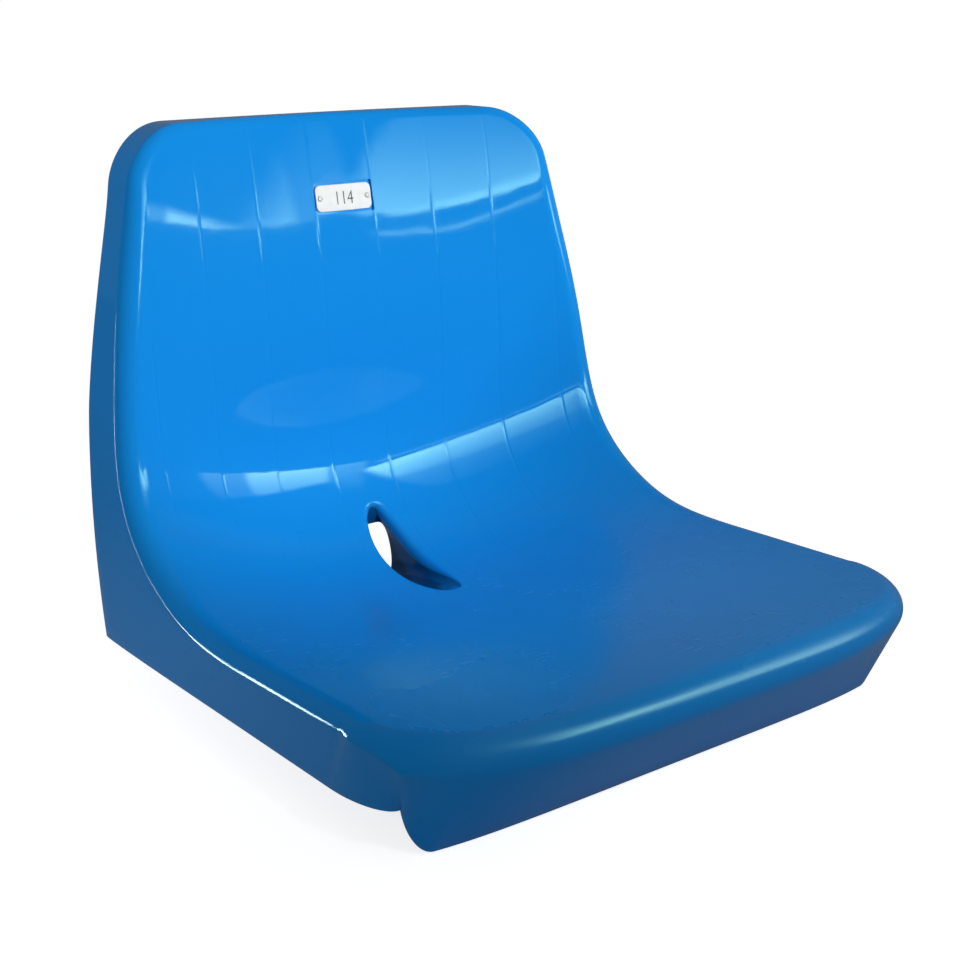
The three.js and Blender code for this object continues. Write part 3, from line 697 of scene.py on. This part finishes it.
def grown(name, base, tree, sizes):
    """Object with the plain mesh that the tree makes of a base mesh with the given sizes."""
    made = bpy.data.objects.new(name, base)
    bpy.context.scene.collection.objects.link(made)
    modifier = made.modifiers.new("growth", "NODES")
    modifier.node_group = tree
    for item in tree.interface.items_tree:
        if item.in_out == "INPUT" and item.name in sizes:
            modifier[item.identifier] = sizes[item.name]
    graph = bpy.context.evaluated_depsgraph_get()
    mesh = bpy.data.meshes.new_from_object(made.evaluated_get(graph), depsgraph=graph)
    made.modifiers.remove(modifier)
    made.data = mesh
    mesh.name = name
    mesh.shade_smooth()
    mesh.set_sharp_from_angle(angle=crease)
    return made


def chain_mesh(name, lines):
    """Base mesh of open lines. Each line is a pair of its points and their way to the far side."""
    points = np.concatenate([line[0] for line in lines])
    ways = np.concatenate([line[1] for line in lines])
    first = np.cumsum([0] + [len(line[0]) for line in lines])
    edges = [(i, i + 1) for start, end in zip(first[:-1], first[1:]) for i in range(start, end - 1)]
    mesh = bpy.data.meshes.new(name)
    mesh.from_pydata(points, edges, [])
    mesh.attributes.new("way", "FLOAT_VECTOR", "POINT").data.foreach_set("vector", ways.ravel())
    return mesh


def rolled_line(x, starts, sections):
    """Middle of the wall of a rolled edge at x, from the seating surface to the free edge."""
    place = np.interp(x, starts, np.arange(len(starts)))
    low = min(int(place), len(starts) - 2)
    section = lerp(sections[low], sections[low + 1], place - low)
    inner = section[::-1][:rim_steps + 1 + skirt_steps]
    skirt_start = rim_steps + 1 + shoulder_steps
    skirt = section[skirt_start:skirt_start + skirt_steps]
    line = (inner + np.concatenate([section[:rim_steps + 1], skirt])) / 2
    line[:, 0] = x
    return line


def rib_line(x):
    """Root of the rib at x, in the middle of the wall, with the way from there to its tip."""
    is_front_tied = x < corner_x(zero)[0] - rib_thickness
    is_top_tied = x < corner_x(zero + 1)[0] - rib_thickness
    shares = np.linspace(front_share(x) + (0 if is_front_tied else rib_inset / run), 1, rib_rows)
    if not is_top_tied:
        shares = shares[x + rib_thickness / 2 <= side_x(shares)]
    points = sheet_point(np.full(len(shares), x), shares)
    behind = sheet_normal(points[:, 0], shares) * [0, -1, -1]
    root = points + unit(behind) * wall / 2
    tip = points + unit(behind) * (wall + rib_depth)
    tip[:, 1] = np.minimum(tip[:, 1], rear_edge_y(points[:, 2]) - rib_setback)
    if is_front_tied:
        starts = sheet_points[:sheet_columns, 0, 0]
        line = rolled_line(x, starts, rim_section[:sheet_columns])
        line = line[line[:, 2] > tip[0, 2]][:0:-1]
        root = np.concatenate([line, root])
        tip = np.concatenate([np.repeat(tip[:1], len(line), 0), tip])
    if is_top_tied:
        starts = sheet_points[:sheet_columns, last_row, 0]
        line = rolled_line(x, starts, rim_section[:-sheet_columns - 1:-1])
        line = line[line[:, 1] < rear_edge_y(line[:, 2]) - rib_setback][1:]
        root = np.concatenate([root, line])
        tip = np.concatenate([tip, np.repeat(tip[-1:], len(line), 0)])
    return root, tip - root


net, given = geometry_tree("upright_web", {"Thickness": "NodeSocketVector"})
edges = {"Mesh": given["Geometry"], "Offset Scale": 0}
sheet = net.node("GeometryNodeExtrudeMesh", {"mode": "EDGES"}, edges)
way = net.node("GeometryNodeInputNamedAttribute", {"data_type": "FLOAT_VECTOR"}, {"Name": "way"})
top = {"Geometry": sheet, "Selection": sheet.sibling("Top"), "Offset": way}
sheet = net.node("GeometryNodeSetPosition", values=top)
sheet = net.node("GeometryNodeMergeByDistance", values={"Geometry": sheet, "Distance": 1e-6})
half_back = {"Geometry": sheet, "Offset": given["Thickness"] * -0.5}
sheet = net.node("GeometryNodeSetPosition", values=half_back)
thick = {"Mesh": sheet, "Offset": given["Thickness"], "Offset Scale": 1, "Individual": False}
thick = net.node("GeometryNodeExtrudeMesh", {"mode": "FACES"}, thick)
back = net.node("GeometryNodeFlipFaces", values={"Mesh": sheet})
both = net.node("GeometryNodeJoinGeometry", values={"Geometry": thick})
net.tree.links.new(back.socket, both.socket.node.inputs["Geometry"])
web = net.node("GeometryNodeMergeByDistance", values={"Geometry": both, "Distance": 1e-6})
web_tree = close_tree(net, web, given["Material"])

rib_lines = []
for number in range(rib_count // 2):
    root, way = rib_line(rib_pitch * (number + 1 / 2))
    rib_lines += [(root, way), (root * [-1, 1, 1], way * [-1, 1, 1])]
rib_sizes = {"Thickness": (rib_thickness, 0, 0), "Material": blue}
ribs = grown("seat_ribs", chain_mesh("rib_roots", rib_lines), web_tree, rib_sizes)
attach(ribs, "root")


# Four fixing bosses under the pan stand on the plane of the side skirts' foot. A web ties
# each to the ribs beside it, and its foot is bored for a threaded insert.
boss_radius = 0.012
boss_chamfer = 0.0008
boss_spread = 0.2032
boss_depths = {"front": 0.13, "rear": 0.25}
bore_radius = 0.006
bore_depth = 0.0203
boss_rise = 0.03
web_points = 24
pan_points = 600
round_sides = 96


def pan_height(x, y):
    shares = np.linspace(0, slot_rear, pan_points)
    line = sheet_point(np.full(len(shares), x), shares)
    return np.interp(y, line[:, 1], line[:, 2])


lathe_inputs = {"Sides": "NodeSocketInt", "Turn": "NodeSocketRotation", "Place": "NodeSocketVector"}
net, given = geometry_tree("lathed_part", lathe_inputs)
profile = {"Geometry": given["Geometry"]}
count = net.node("GeometryNodeAttributeDomainSize", {"component": "MESH"}, profile)
around = given["Sides"] + 1
grid = net.node("GeometryNodeMeshGrid", values={"Vertices X": count, "Vertices Y": around})
index = net.node("GeometryNodeInputIndex")
row = (index / around).math("FLOOR")
angle = (row * around - index) * (2 * math.pi) / given["Sides"]
where = net.node("GeometryNodeInputPosition")
ring = {"Geometry": given["Geometry"], "Value": where, "Index": row}
ring = net.node("GeometryNodeSampleIndex", {"data_type": "FLOAT_VECTOR", "domain": "POINT"}, ring)
ring = net.node("ShaderNodeSeparateXYZ", values={0: ring})
spot = {"X": ring * angle.math("COSINE"), "Y": ring * angle.math("SINE"), "Z": ring.sibling("Z")}
spot = net.node("ShaderNodeCombineXYZ", values=spot)
spot = net.node("FunctionNodeRotateVector", values={"Vector": spot, "Rotation": given["Turn"]})
body = {"Geometry": grid, "Position": spot + given["Place"]}
body = net.node("GeometryNodeSetPosition", values=body)
body = net.node("GeometryNodeMergeByDistance", values={"Geometry": body, "Distance": 1e-7})
lathe_tree = close_tree(net, body, given["Material"])


def profile_mesh(name, profile):
    """Base mesh of the points of a lathed profile, given as radius and height."""
    mesh = bpy.data.meshes.new(name)
    mesh.from_pydata([(radius, 0, height) for radius, height in profile], [], [])
    return mesh


boss_profile = [
    (0, bore_depth), (bore_radius, bore_depth), (bore_radius, 0),
    (boss_radius - boss_chamfer, 0), (boss_radius, boss_chamfer),
    (boss_radius, boss_rise), (0, boss_rise),
]
boss_places = {
    f"{end}_{side}": (sign * boss_spread / 2, depth - half_depth, apron_drop)
    for end, depth in boss_depths.items()
    for side, sign in (("left", -1), ("right", 1))
}
for corner, place in boss_places.items():
    sizes = {"Sides": round_sides, "Place": place, "Material": blue}
    base = profile_mesh("boss_profile", boss_profile)
    boss = grown(f"fixing_boss_{corner}", base, lathe_tree, sizes)
    for vertex in boss.data.vertices:
        if vertex.co.z > apron_drop + (bore_depth + boss_rise) / 2:
            vertex.co.z = pan_height(vertex.co.x, vertex.co.y) - wall / 2
    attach(boss, "root")

web_lines = []
for middle, y, _ in boss_places.values():
    across = middle + np.linspace(rib_pitch / 2, -rib_pitch / 2, web_points)
    heights = np.array([pan_height(x, y) for x in across]) - wall / 2
    low = pan_height(middle, y) - wall - rib_depth
    root = np.stack([across, np.full(web_points, y), heights], -1)
    web_lines.append((root, (low - root) * [0, 0, 1]))
web_sizes = {"Thickness": (0, rib_thickness, 0), "Material": blue}
webs = grown("boss_webs", chain_mesh("web_roots", web_lines), web_tree, web_sizes)
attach(webs, "root")


# Each boss holds a threaded brass insert for a machine screw, turned from bar 11.4 mm across
# and 20 mm long. Its lower face is flush with the boss, and both its ends are chamfered.
insert_radius = 0.0057
insert_length = 0.02
insert_chamfer = 0.0006
thread_radius = 0.0034
thread_depth = 0.0005
thread_pitch = 0.00125

bright_brass, dull_brass = (0.62, 0.42, 0.16), (0.36, 0.25, 0.12)
bright_brass_gloss, dull_brass_gloss = 0.22, 0.42
tarnish_span = (0.4, 0.7)
brass_tarnish_waves = 400
tool_stretch, tool_waves, tool_depth = (0.02, 0.02, 1), 6000, 0.00001

brass, net, bsdf = plain_material("turned_brass", bright_brass, bright_brass_gloss, Metallic=1)
place = net.node("ShaderNodeTexCoord", output="Object")
tarnish = ramp(noise(place, brass_tarnish_waves, detail=4, roughness=0.6), *tarnish_span)
tool_marks = noise(place.math("MULTIPLY", tool_stretch), tool_waves) * tool_depth
net.feed(
    bsdf,
    Base_Color=net.mix(tarnish, bright_brass, dull_brass),
    Roughness=lerp(bright_brass_gloss, dull_brass_gloss, tarnish),
    Normal=relief_bump(tool_marks),
)

insert_profile = [
    (thread_radius + insert_chamfer, 0),
    (insert_radius - insert_chamfer, 0),
    (insert_radius, insert_chamfer),
    (insert_radius, insert_length - insert_chamfer),
    (insert_radius - insert_chamfer, insert_length),
    (thread_radius + insert_chamfer, insert_length),
    (thread_radius, insert_length - insert_chamfer),
]
thread_turns = int((insert_length - 2 * insert_chamfer) / thread_pitch)
for turn in range(thread_turns, 0, -1):
    top = insert_chamfer + turn * thread_pitch
    insert_profile.append((thread_radius, top - thread_pitch / 8))
    insert_profile.append((thread_radius + thread_depth, top - thread_pitch / 2))
insert_profile += [(thread_radius, insert_chamfer), (thread_radius + insert_chamfer, 0)]
for corner, place in boss_places.items():
    sizes = {"Sides": round_sides, "Place": place, "Material": brass}
    name = f"insert_{corner}"
    base = profile_mesh("insert_profile", insert_profile)
    insert = grown(f"{name}_body", base, lathe_tree, sizes)
    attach(insert, "root")
    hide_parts(name)


# The number plate is white sheet plastic, 48 by 19 mm and 1.2 mm thick, with soft edges. It
# lies in a pocket near the top of the back and shows its number in thin dark print.
plate_width, plate_height = 0.048, 0.019
plate_thickness = 0.0012
plate_corner_radius = 0.004
plate_edge_round = 0.00025
plate_gap = 0.0003
digit_size = 0.0142
digit_width_share = 0.8
digit_thinning = 0.00016
digit_height = 0.00004
digit_drop = 0.0052
plate_top = plate_gap - pocket_depth + plate_thickness

plate_white, handled_white = (0.84, 0.86, 0.87), (0.74, 0.76, 0.78)
plate_gloss, plate_gloss_level = 0.4, 0.2
handling_waves, handling_span, handling_levels = 180, (0.5, 0.75), (0, 0.5)
plate_gloss_span, plate_gloss_levels = (0.35, 0.7), (0.32, 0.5)
ink_black, worn_ink = (0.03, 0.035, 0.05), (0.12, 0.13, 0.16)
fresh_ink_gloss, worn_ink_gloss = 0.45, 0.65
ink_waves, ink_span = 700, (0.5, 0.75)

white, net, bsdf = plain_material(
    "white_plastic", plate_white, plate_gloss, Specular_IOR_Level=plate_gloss_level,
)
place = net.node("ShaderNodeTexCoord", output="Object")
cloud = noise(place, handling_waves, detail=4, roughness=0.6)
handling = ramp(cloud, *handling_span, *handling_levels)
net.feed(
    bsdf,
    Base_Color=net.mix(handling, plate_white, handled_white),
    Roughness=ramp(cloud, *plate_gloss_span, *plate_gloss_levels),
)
ink, net, bsdf = plain_material("dark_print", ink_black, fresh_ink_gloss)
place = net.node("ShaderNodeTexCoord", output="Object")
fade = ramp(noise(place, ink_waves, detail=3), *ink_span)
net.feed(
    bsdf,
    Base_Color=net.mix(fade, ink_black, worn_ink),
    Roughness=lerp(fresh_ink_gloss, worn_ink_gloss, fade),
)

plate_curve = bpy.data.curves.new("plate_outline", "CURVE")
plate_curve.dimensions = "2D"
plate_curve.fill_mode = "BOTH"
plate_curve.extrude = plate_thickness / 2 - plate_edge_round
plate_curve.bevel_depth = plate_edge_round
plate_curve.bevel_resolution = 4
plate_curve.offset = -plate_edge_round
outline(plate_curve, rounded_rectangle(plate_width, plate_height, plate_corner_radius))
for side in (-1, 1):
    outline(plate_curve, rivet_circle(side)[::-1])
plate_middle = Matrix.Translation((0, 0, plate_top - plate_thickness / 2))
plate = meshed("number_plate_body", plate_curve, plate_frame @ plate_middle, white)
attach(plate, "root")
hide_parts("number_plate")

digits_curve = bpy.data.curves.new("digits", "FONT")
digits_curve.body = "114"
digits_curve.size = digit_size
digits_curve.align_x = "CENTER"
digits_curve.offset = -digit_thinning
digits_curve.extrude = digit_height
digits_place = Matrix.Translation((0, -digit_drop, plate_top + digit_height))
digits_shape = Matrix.Diagonal((digit_width_share, 1, 1, 1))
digits = meshed("plate_digits", digits_curve, plate_frame @ digits_place @ digits_shape, ink)
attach(digits, "root")


# Two aluminium blind rivets hold the plate: a domed head 4 mm across with the broken mandrel
# in its middle, a shank through plate and wall, and a spread tail behind the back.
rivet_shank_radius = 0.0011
rivet_head_radius = 0.002
rivet_head_height = 0.0007
rivet_tail_radius = 0.0019
rivet_tail_height = 0.001
rivet_tail_end_share = 0.8
rivet_sides = 48
mandrel_radius = 0.0006
mandrel_depth = 0.0002
dome_steps = 12

bright_metal, dull_metal = (0.75, 0.76, 0.78), (0.5, 0.51, 0.53)
bright_metal_gloss, dull_metal_gloss = 0.28, 0.48
oxide_share = 0.6
metal_tarnish_waves = 900
pit_waves, pit_depth = 2500, 0.00002

aluminium, net, bsdf = plain_material(
    "rivet_aluminium", bright_metal, bright_metal_gloss, Metallic=1 - oxide_share,
)
place = net.node("ShaderNodeTexCoord", output="Object")
tarnish = ramp(noise(place, metal_tarnish_waves, detail=4, roughness=0.6), *tarnish_span)
net.feed(
    bsdf,
    Base_Color=net.mix(tarnish, bright_metal, dull_metal),
    Roughness=lerp(bright_metal_gloss, dull_metal_gloss, tarnish),
    Normal=relief_bump(noise(place, pit_waves) * pit_depth),
)

head_base = plate_top + plate_gap
tail_top = -wall - plate_gap
rivet_profile = [
    (0, tail_top - rivet_tail_height),
    (rivet_tail_radius * rivet_tail_end_share, tail_top - rivet_tail_height),
    (rivet_tail_radius, tail_top - rivet_tail_height / 2),
    (rivet_tail_radius, tail_top),
    (rivet_shank_radius, tail_top),
    (rivet_shank_radius, head_base),
    (rivet_head_radius, head_base),
]
dome_end = math.acos(mandrel_radius / rivet_head_radius)
for turn in np.linspace(0, dome_end, dome_steps + 1)[1:]:
    dome_height = head_base + rivet_head_height * math.sin(turn)
    rivet_profile.append((rivet_head_radius * math.cos(turn), dome_height))
rivet_profile.append((mandrel_radius, rivet_profile[-1][1] - mandrel_depth))
rivet_profile.append((0, rivet_profile[-1][1]))
for side, sign in (("left", -1), ("right", 1)):
    place = plate_frame @ Vector((sign * rivet_spacing / 2, 0, 0))
    sizes = {"Sides": rivet_sides, "Turn": tuple(plate_frame.to_euler())}
    sizes.update({"Place": tuple(place), "Material": aluminium})
    name = f"plate_rivet_{side}"
    base = profile_mesh("rivet_profile", rivet_profile)
    rivet = grown(f"{name}_body", base, lathe_tree, sizes)
    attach(rivet, "root")
    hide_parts(name)


# The seat stands on a wide white floor. Gloss sees it with painted shade: dark far off, as in a dim
# room, and dark under the apron, where the seat's shadow falls. The background is white for the
# camera and a plain grey for light.
floor_size = 200
floor_white, floor_painted_shade = (0.85, 0.85, 0.85), (0.15, 0.15, 0.15)
floor_glow, floor_glow_in_gloss = 0.8, 0.08
floor_gloss = 0.9
floor_near, floor_far = 0.25, 0.8
apron_side, apron_side_fade = -0.15, 0.1
apron_shade_from, apron_shade_to = 0, -0.15
sky_white, sky_white_in_gloss = (1, 1, 1), 0.05
sky_light, sky_in_gloss = (0.25, 0.25, 0.25), (0.12, 0.12, 0.12)


def background_seen(net, gloss_share):
    """1 for rays that show the background as it is, and a share of it for gloss."""
    path = net.node("ShaderNodeLightPath")
    gloss = path.sibling("Is Glossy Ray")
    seen = path.math("MAXIMUM", path.sibling("Is Transmission Ray"))
    return seen.math("MAXIMUM", gloss * gloss_share), gloss


floor_mesh = bpy.data.meshes.new("floor")
corners = [(-1, -1), (1, -1), (1, 1), (-1, 1)]
corners = [(x * floor_size, y * floor_size, 0) for x, y in corners]
floor_mesh.from_pydata(corners, [], [(0, 1, 2, 3)])
floor = bpy.data.objects.new("floor", floor_mesh)
bpy.context.scene.collection.objects.link(floor)
pale, net, bsdf = plain_material(
    "pale_floor", floor_white, floor_gloss, Specular_IOR_Level=0, Emission_Strength=1,
)
seen, gloss = background_seen(net, floor_glow_in_gloss)
place = net.node("ShaderNodeTexCoord", output="Object")
axes = net.node("ShaderNodeSeparateXYZ", values={"Vector": place})
# Painted shade seen by gloss alone: the floor darkens far off and under the apron.
far_off = ramp(place.math("LENGTH").sibling("Value"), floor_near, floor_far)
apron_painted_shade = ramp(axes.sibling("Y"), apron_shade_from, apron_shade_to)
apron_painted_shade = apron_painted_shade * ramp(axes, apron_side - apron_side_fade, apron_side)
net.feed(
    bsdf,
    Base_Color=net.mix(gloss * far_off.math("MAXIMUM", apron_painted_shade), floor_white, floor_painted_shade),
    Emission_Color=net.mix(seen, (0, 0, 0), (floor_glow,) * 3),
)
floor_mesh.materials.append(pale)

world = bpy.data.worlds.new("studio")
bpy.context.scene.world = world
world.use_nodes = True
net = Net(world.node_tree)
seen, gloss = background_seen(net, sky_white_in_gloss)
sky = net.mix(seen, net.mix(gloss, sky_light, sky_in_gloss), sky_white)
net.feed(world.node_tree.nodes["Background"], Color=sky)


# Three soft spots light the back, the pan with its lip, and the left side. Bearings are round
# from the seat's right, and gloss shows none of the lamps.
def spot(name, energy, bearing, height, distance, target, reach, softness, blend):
    """Spot lamp that lights a circle round its target."""
    data = bpy.data.lights.new(name, "SPOT")
    data.energy = energy
    data.spot_size = 2 * math.atan(reach / distance)
    data.spot_blend = blend
    data.shadow_soft_size = softness
    made = bpy.data.objects.new(name, data)
    bpy.context.scene.collection.objects.link(made)
    turn, rise = math.radians(bearing), math.radians(height)
    flat = math.cos(rise)
    way = Vector((flat * math.cos(turn), flat * math.sin(turn), math.sin(rise)))
    made.location = Vector(target) + way * distance
    made.rotation_euler = way.to_track_quat("Z", "Y").to_euler()
    made.visible_camera = False
    made.visible_glossy = False


spot(
    "back_spot", energy=215, bearing=-55, height=12, distance=2.5,
    target=(0, 0.16, 0.3), reach=0.3, softness=0.12, blend=0.25,
)
spot(
    "overhead_spot", energy=38, bearing=-95, height=52, distance=2,
    target=(0.06, -0.23, 0.08), reach=0.28, softness=0.15, blend=0.7,
)
spot(
    "left_spot", energy=60, bearing=-168, height=32, distance=2.5,
    target=(-0.2, 0.12, 0.26), reach=0.32, softness=0.15, blend=0.8,
)

# Two sunlit windows in front and on the right, the sill of the front one, and a strip light
# behind on the left are seen by gloss alone. Each is a glowing card whose bearing is taken
# round a point in the back.
back_y = 0.16
sunlit = (0.95, 1, 0.65)


def card(name, bearing, distance, lean, sill, sides, tall):
    """Upright card that only gloss shows. Returns its net and its places across and up."""
    mesh = bpy.data.meshes.new(name)
    left, right = sides
    corners = [(left, 0, 0), (right, 0, 0), (right, tall, 0), (left, tall, 0)]
    mesh.from_pydata(corners, [], [(0, 1, 2, 3)])
    made = bpy.data.objects.new(name, mesh)
    bpy.context.scene.collection.objects.link(made)
    turn = math.radians(bearing)
    made.location = (distance * math.cos(turn), back_y + distance * math.sin(turn), sill)
    made.rotation_euler = (right_angle, math.radians(lean), turn + right_angle)
    paint = bpy.data.materials.new(name)
    paint.use_nodes = True
    paint.node_tree.nodes.remove(paint.node_tree.nodes["Principled BSDF"])
    mesh.materials.append(paint)
    made.visible_camera = False
    made.visible_diffuse = False
    made.visible_shadow = False
    net = Net(paint.node_tree)
    place = net.node("ShaderNodeTexCoord", output="Object")
    across = net.node("ShaderNodeSeparateXYZ", values={"Vector": place})
    return net, across, across.sibling("Y")


def soft_sided(across, left, right, soft, level=1):
    return ramp(across, left, left + soft, 0, level) * ramp(across, right, right - soft)


def window(name, colour, strength, fade, panes, **placing):
    """Bright card that fades upwards. Each pane adds its share of the glow between its sides,
    which are soft, and has a level for its left and its right end.
    """
    sides = [side for pane in panes for side in pane["sides"]]
    net, across, up = card(name, sides=(min(sides), max(sides)), **placing)
    level = (up / -fade).math("EXPONENT") * sum(
        soft_sided(across, *pane["sides"], pane["soft"], pane["share"])
        * ramp(across, *pane["sides"], *pane["ends"])
        for pane in panes
    )
    colour = net.mix(level, (0, 0, 0), colour)
    glow = net.node("ShaderNodeEmission", values={"Strength": strength, "Color": colour})
    net.feed(net.tree.nodes["Material Output"], Surface=glow)


front = {"bearing": -77.5, "distance": 1.12, "lean": -12}
window(
    "window_front", sunlit, strength=30, fade=0.22, sill=0.395, tall=0.7, **front,
    panes=[{"share": 1, "sides": (-0.12, 0.48), "ends": (0.6, 1), "soft": 0.06}],
)
window(
    "sill_front", sunlit, strength=12, fade=1, sill=0.345, tall=0.008, **front,
    panes=[{"share": 1, "sides": (-0.1, 0.42), "ends": (0.6, 1), "soft": 0.04}],
)
window(
    "window_right", sunlit, strength=22, fade=0.6,
    bearing=-40.5, distance=3, lean=19, sill=0.5, tall=2,
    panes=[
        {"share": 0.8, "sides": (-0.62, 0.24), "ends": (1, 0.8), "soft": 0.08},
        {"share": 0.2, "sides": (-1.05, 0.62), "ends": (1, 1), "soft": 0.1},
        {"share": 0.15, "sides": (-1.05, -0.5), "ends": (0.4, 1), "soft": 0.15},
    ],
)
window(
    "strip_light", (1, 1, 1), strength=30, fade=2,
    bearing=143, distance=1, lean=0, sill=0, tall=0.3,
    panes=[{"share": 1, "sides": (-0.07, 0.09), "ends": (1, 1), "soft": 0.02}],
)


# Two dark cards nearer the seat keep part of the windows' glow out of the gloss of the back,
# but not of the pan's heel, whose gloss sees the windows below them.
shade_foot = 0.03


def shade(name, cover, soft, sides, **placing):
    """Dark card that hides a share of what lies behind it."""
    net, across, up = card(name, sides=sides, **placing)
    cover = soft_sided(across, *sides, soft, cover) * ramp(up, 0, shade_foot)
    clear = net.node("ShaderNodeBsdfTransparent")
    black = net.node("ShaderNodeEmission", values={"Strength": 0})
    half_clear = net.node("ShaderNodeMixShader", values={0: cover, 1: clear, 2: black})
    net.feed(net.tree.nodes["Material Output"], Surface=half_clear)


shade(
    "shade_right", cover=1, soft=0.08, sides=(-0.13, 0.4),
    bearing=-43, distance=0.75, lean=0, sill=0.36, tall=0.6,
)
shade(
    "shade_front", cover=0.5, soft=0.08, sides=(-0.2, 0.42),
    bearing=-77.5, distance=0.5, lean=0, sill=0.36, tall=0.6,
)


# The camera stands to the seat's left and looks down. Its lens, place and direction come from
# the vanishing points of the seat's own edges.
camera_lens, film_width = 61.05, 36
camera_place = (-0.6645, -0.82124, 0.462)
camera_way = Vector((0.5906, 0.7539, -0.2877))

camera_data = bpy.data.cameras.new("camera")
camera_data.sensor_width = film_width
camera_data.lens = camera_lens
camera = bpy.data.objects.new("camera", camera_data)
bpy.context.scene.collection.objects.link(camera)
camera.location = camera_place
camera.rotation_euler = camera_way.to_track_quat("-Z", "Y").to_euler()
bpy.context.scene.camera = camera
bpy.context.scene.view_settings.view_transform = "Standard"
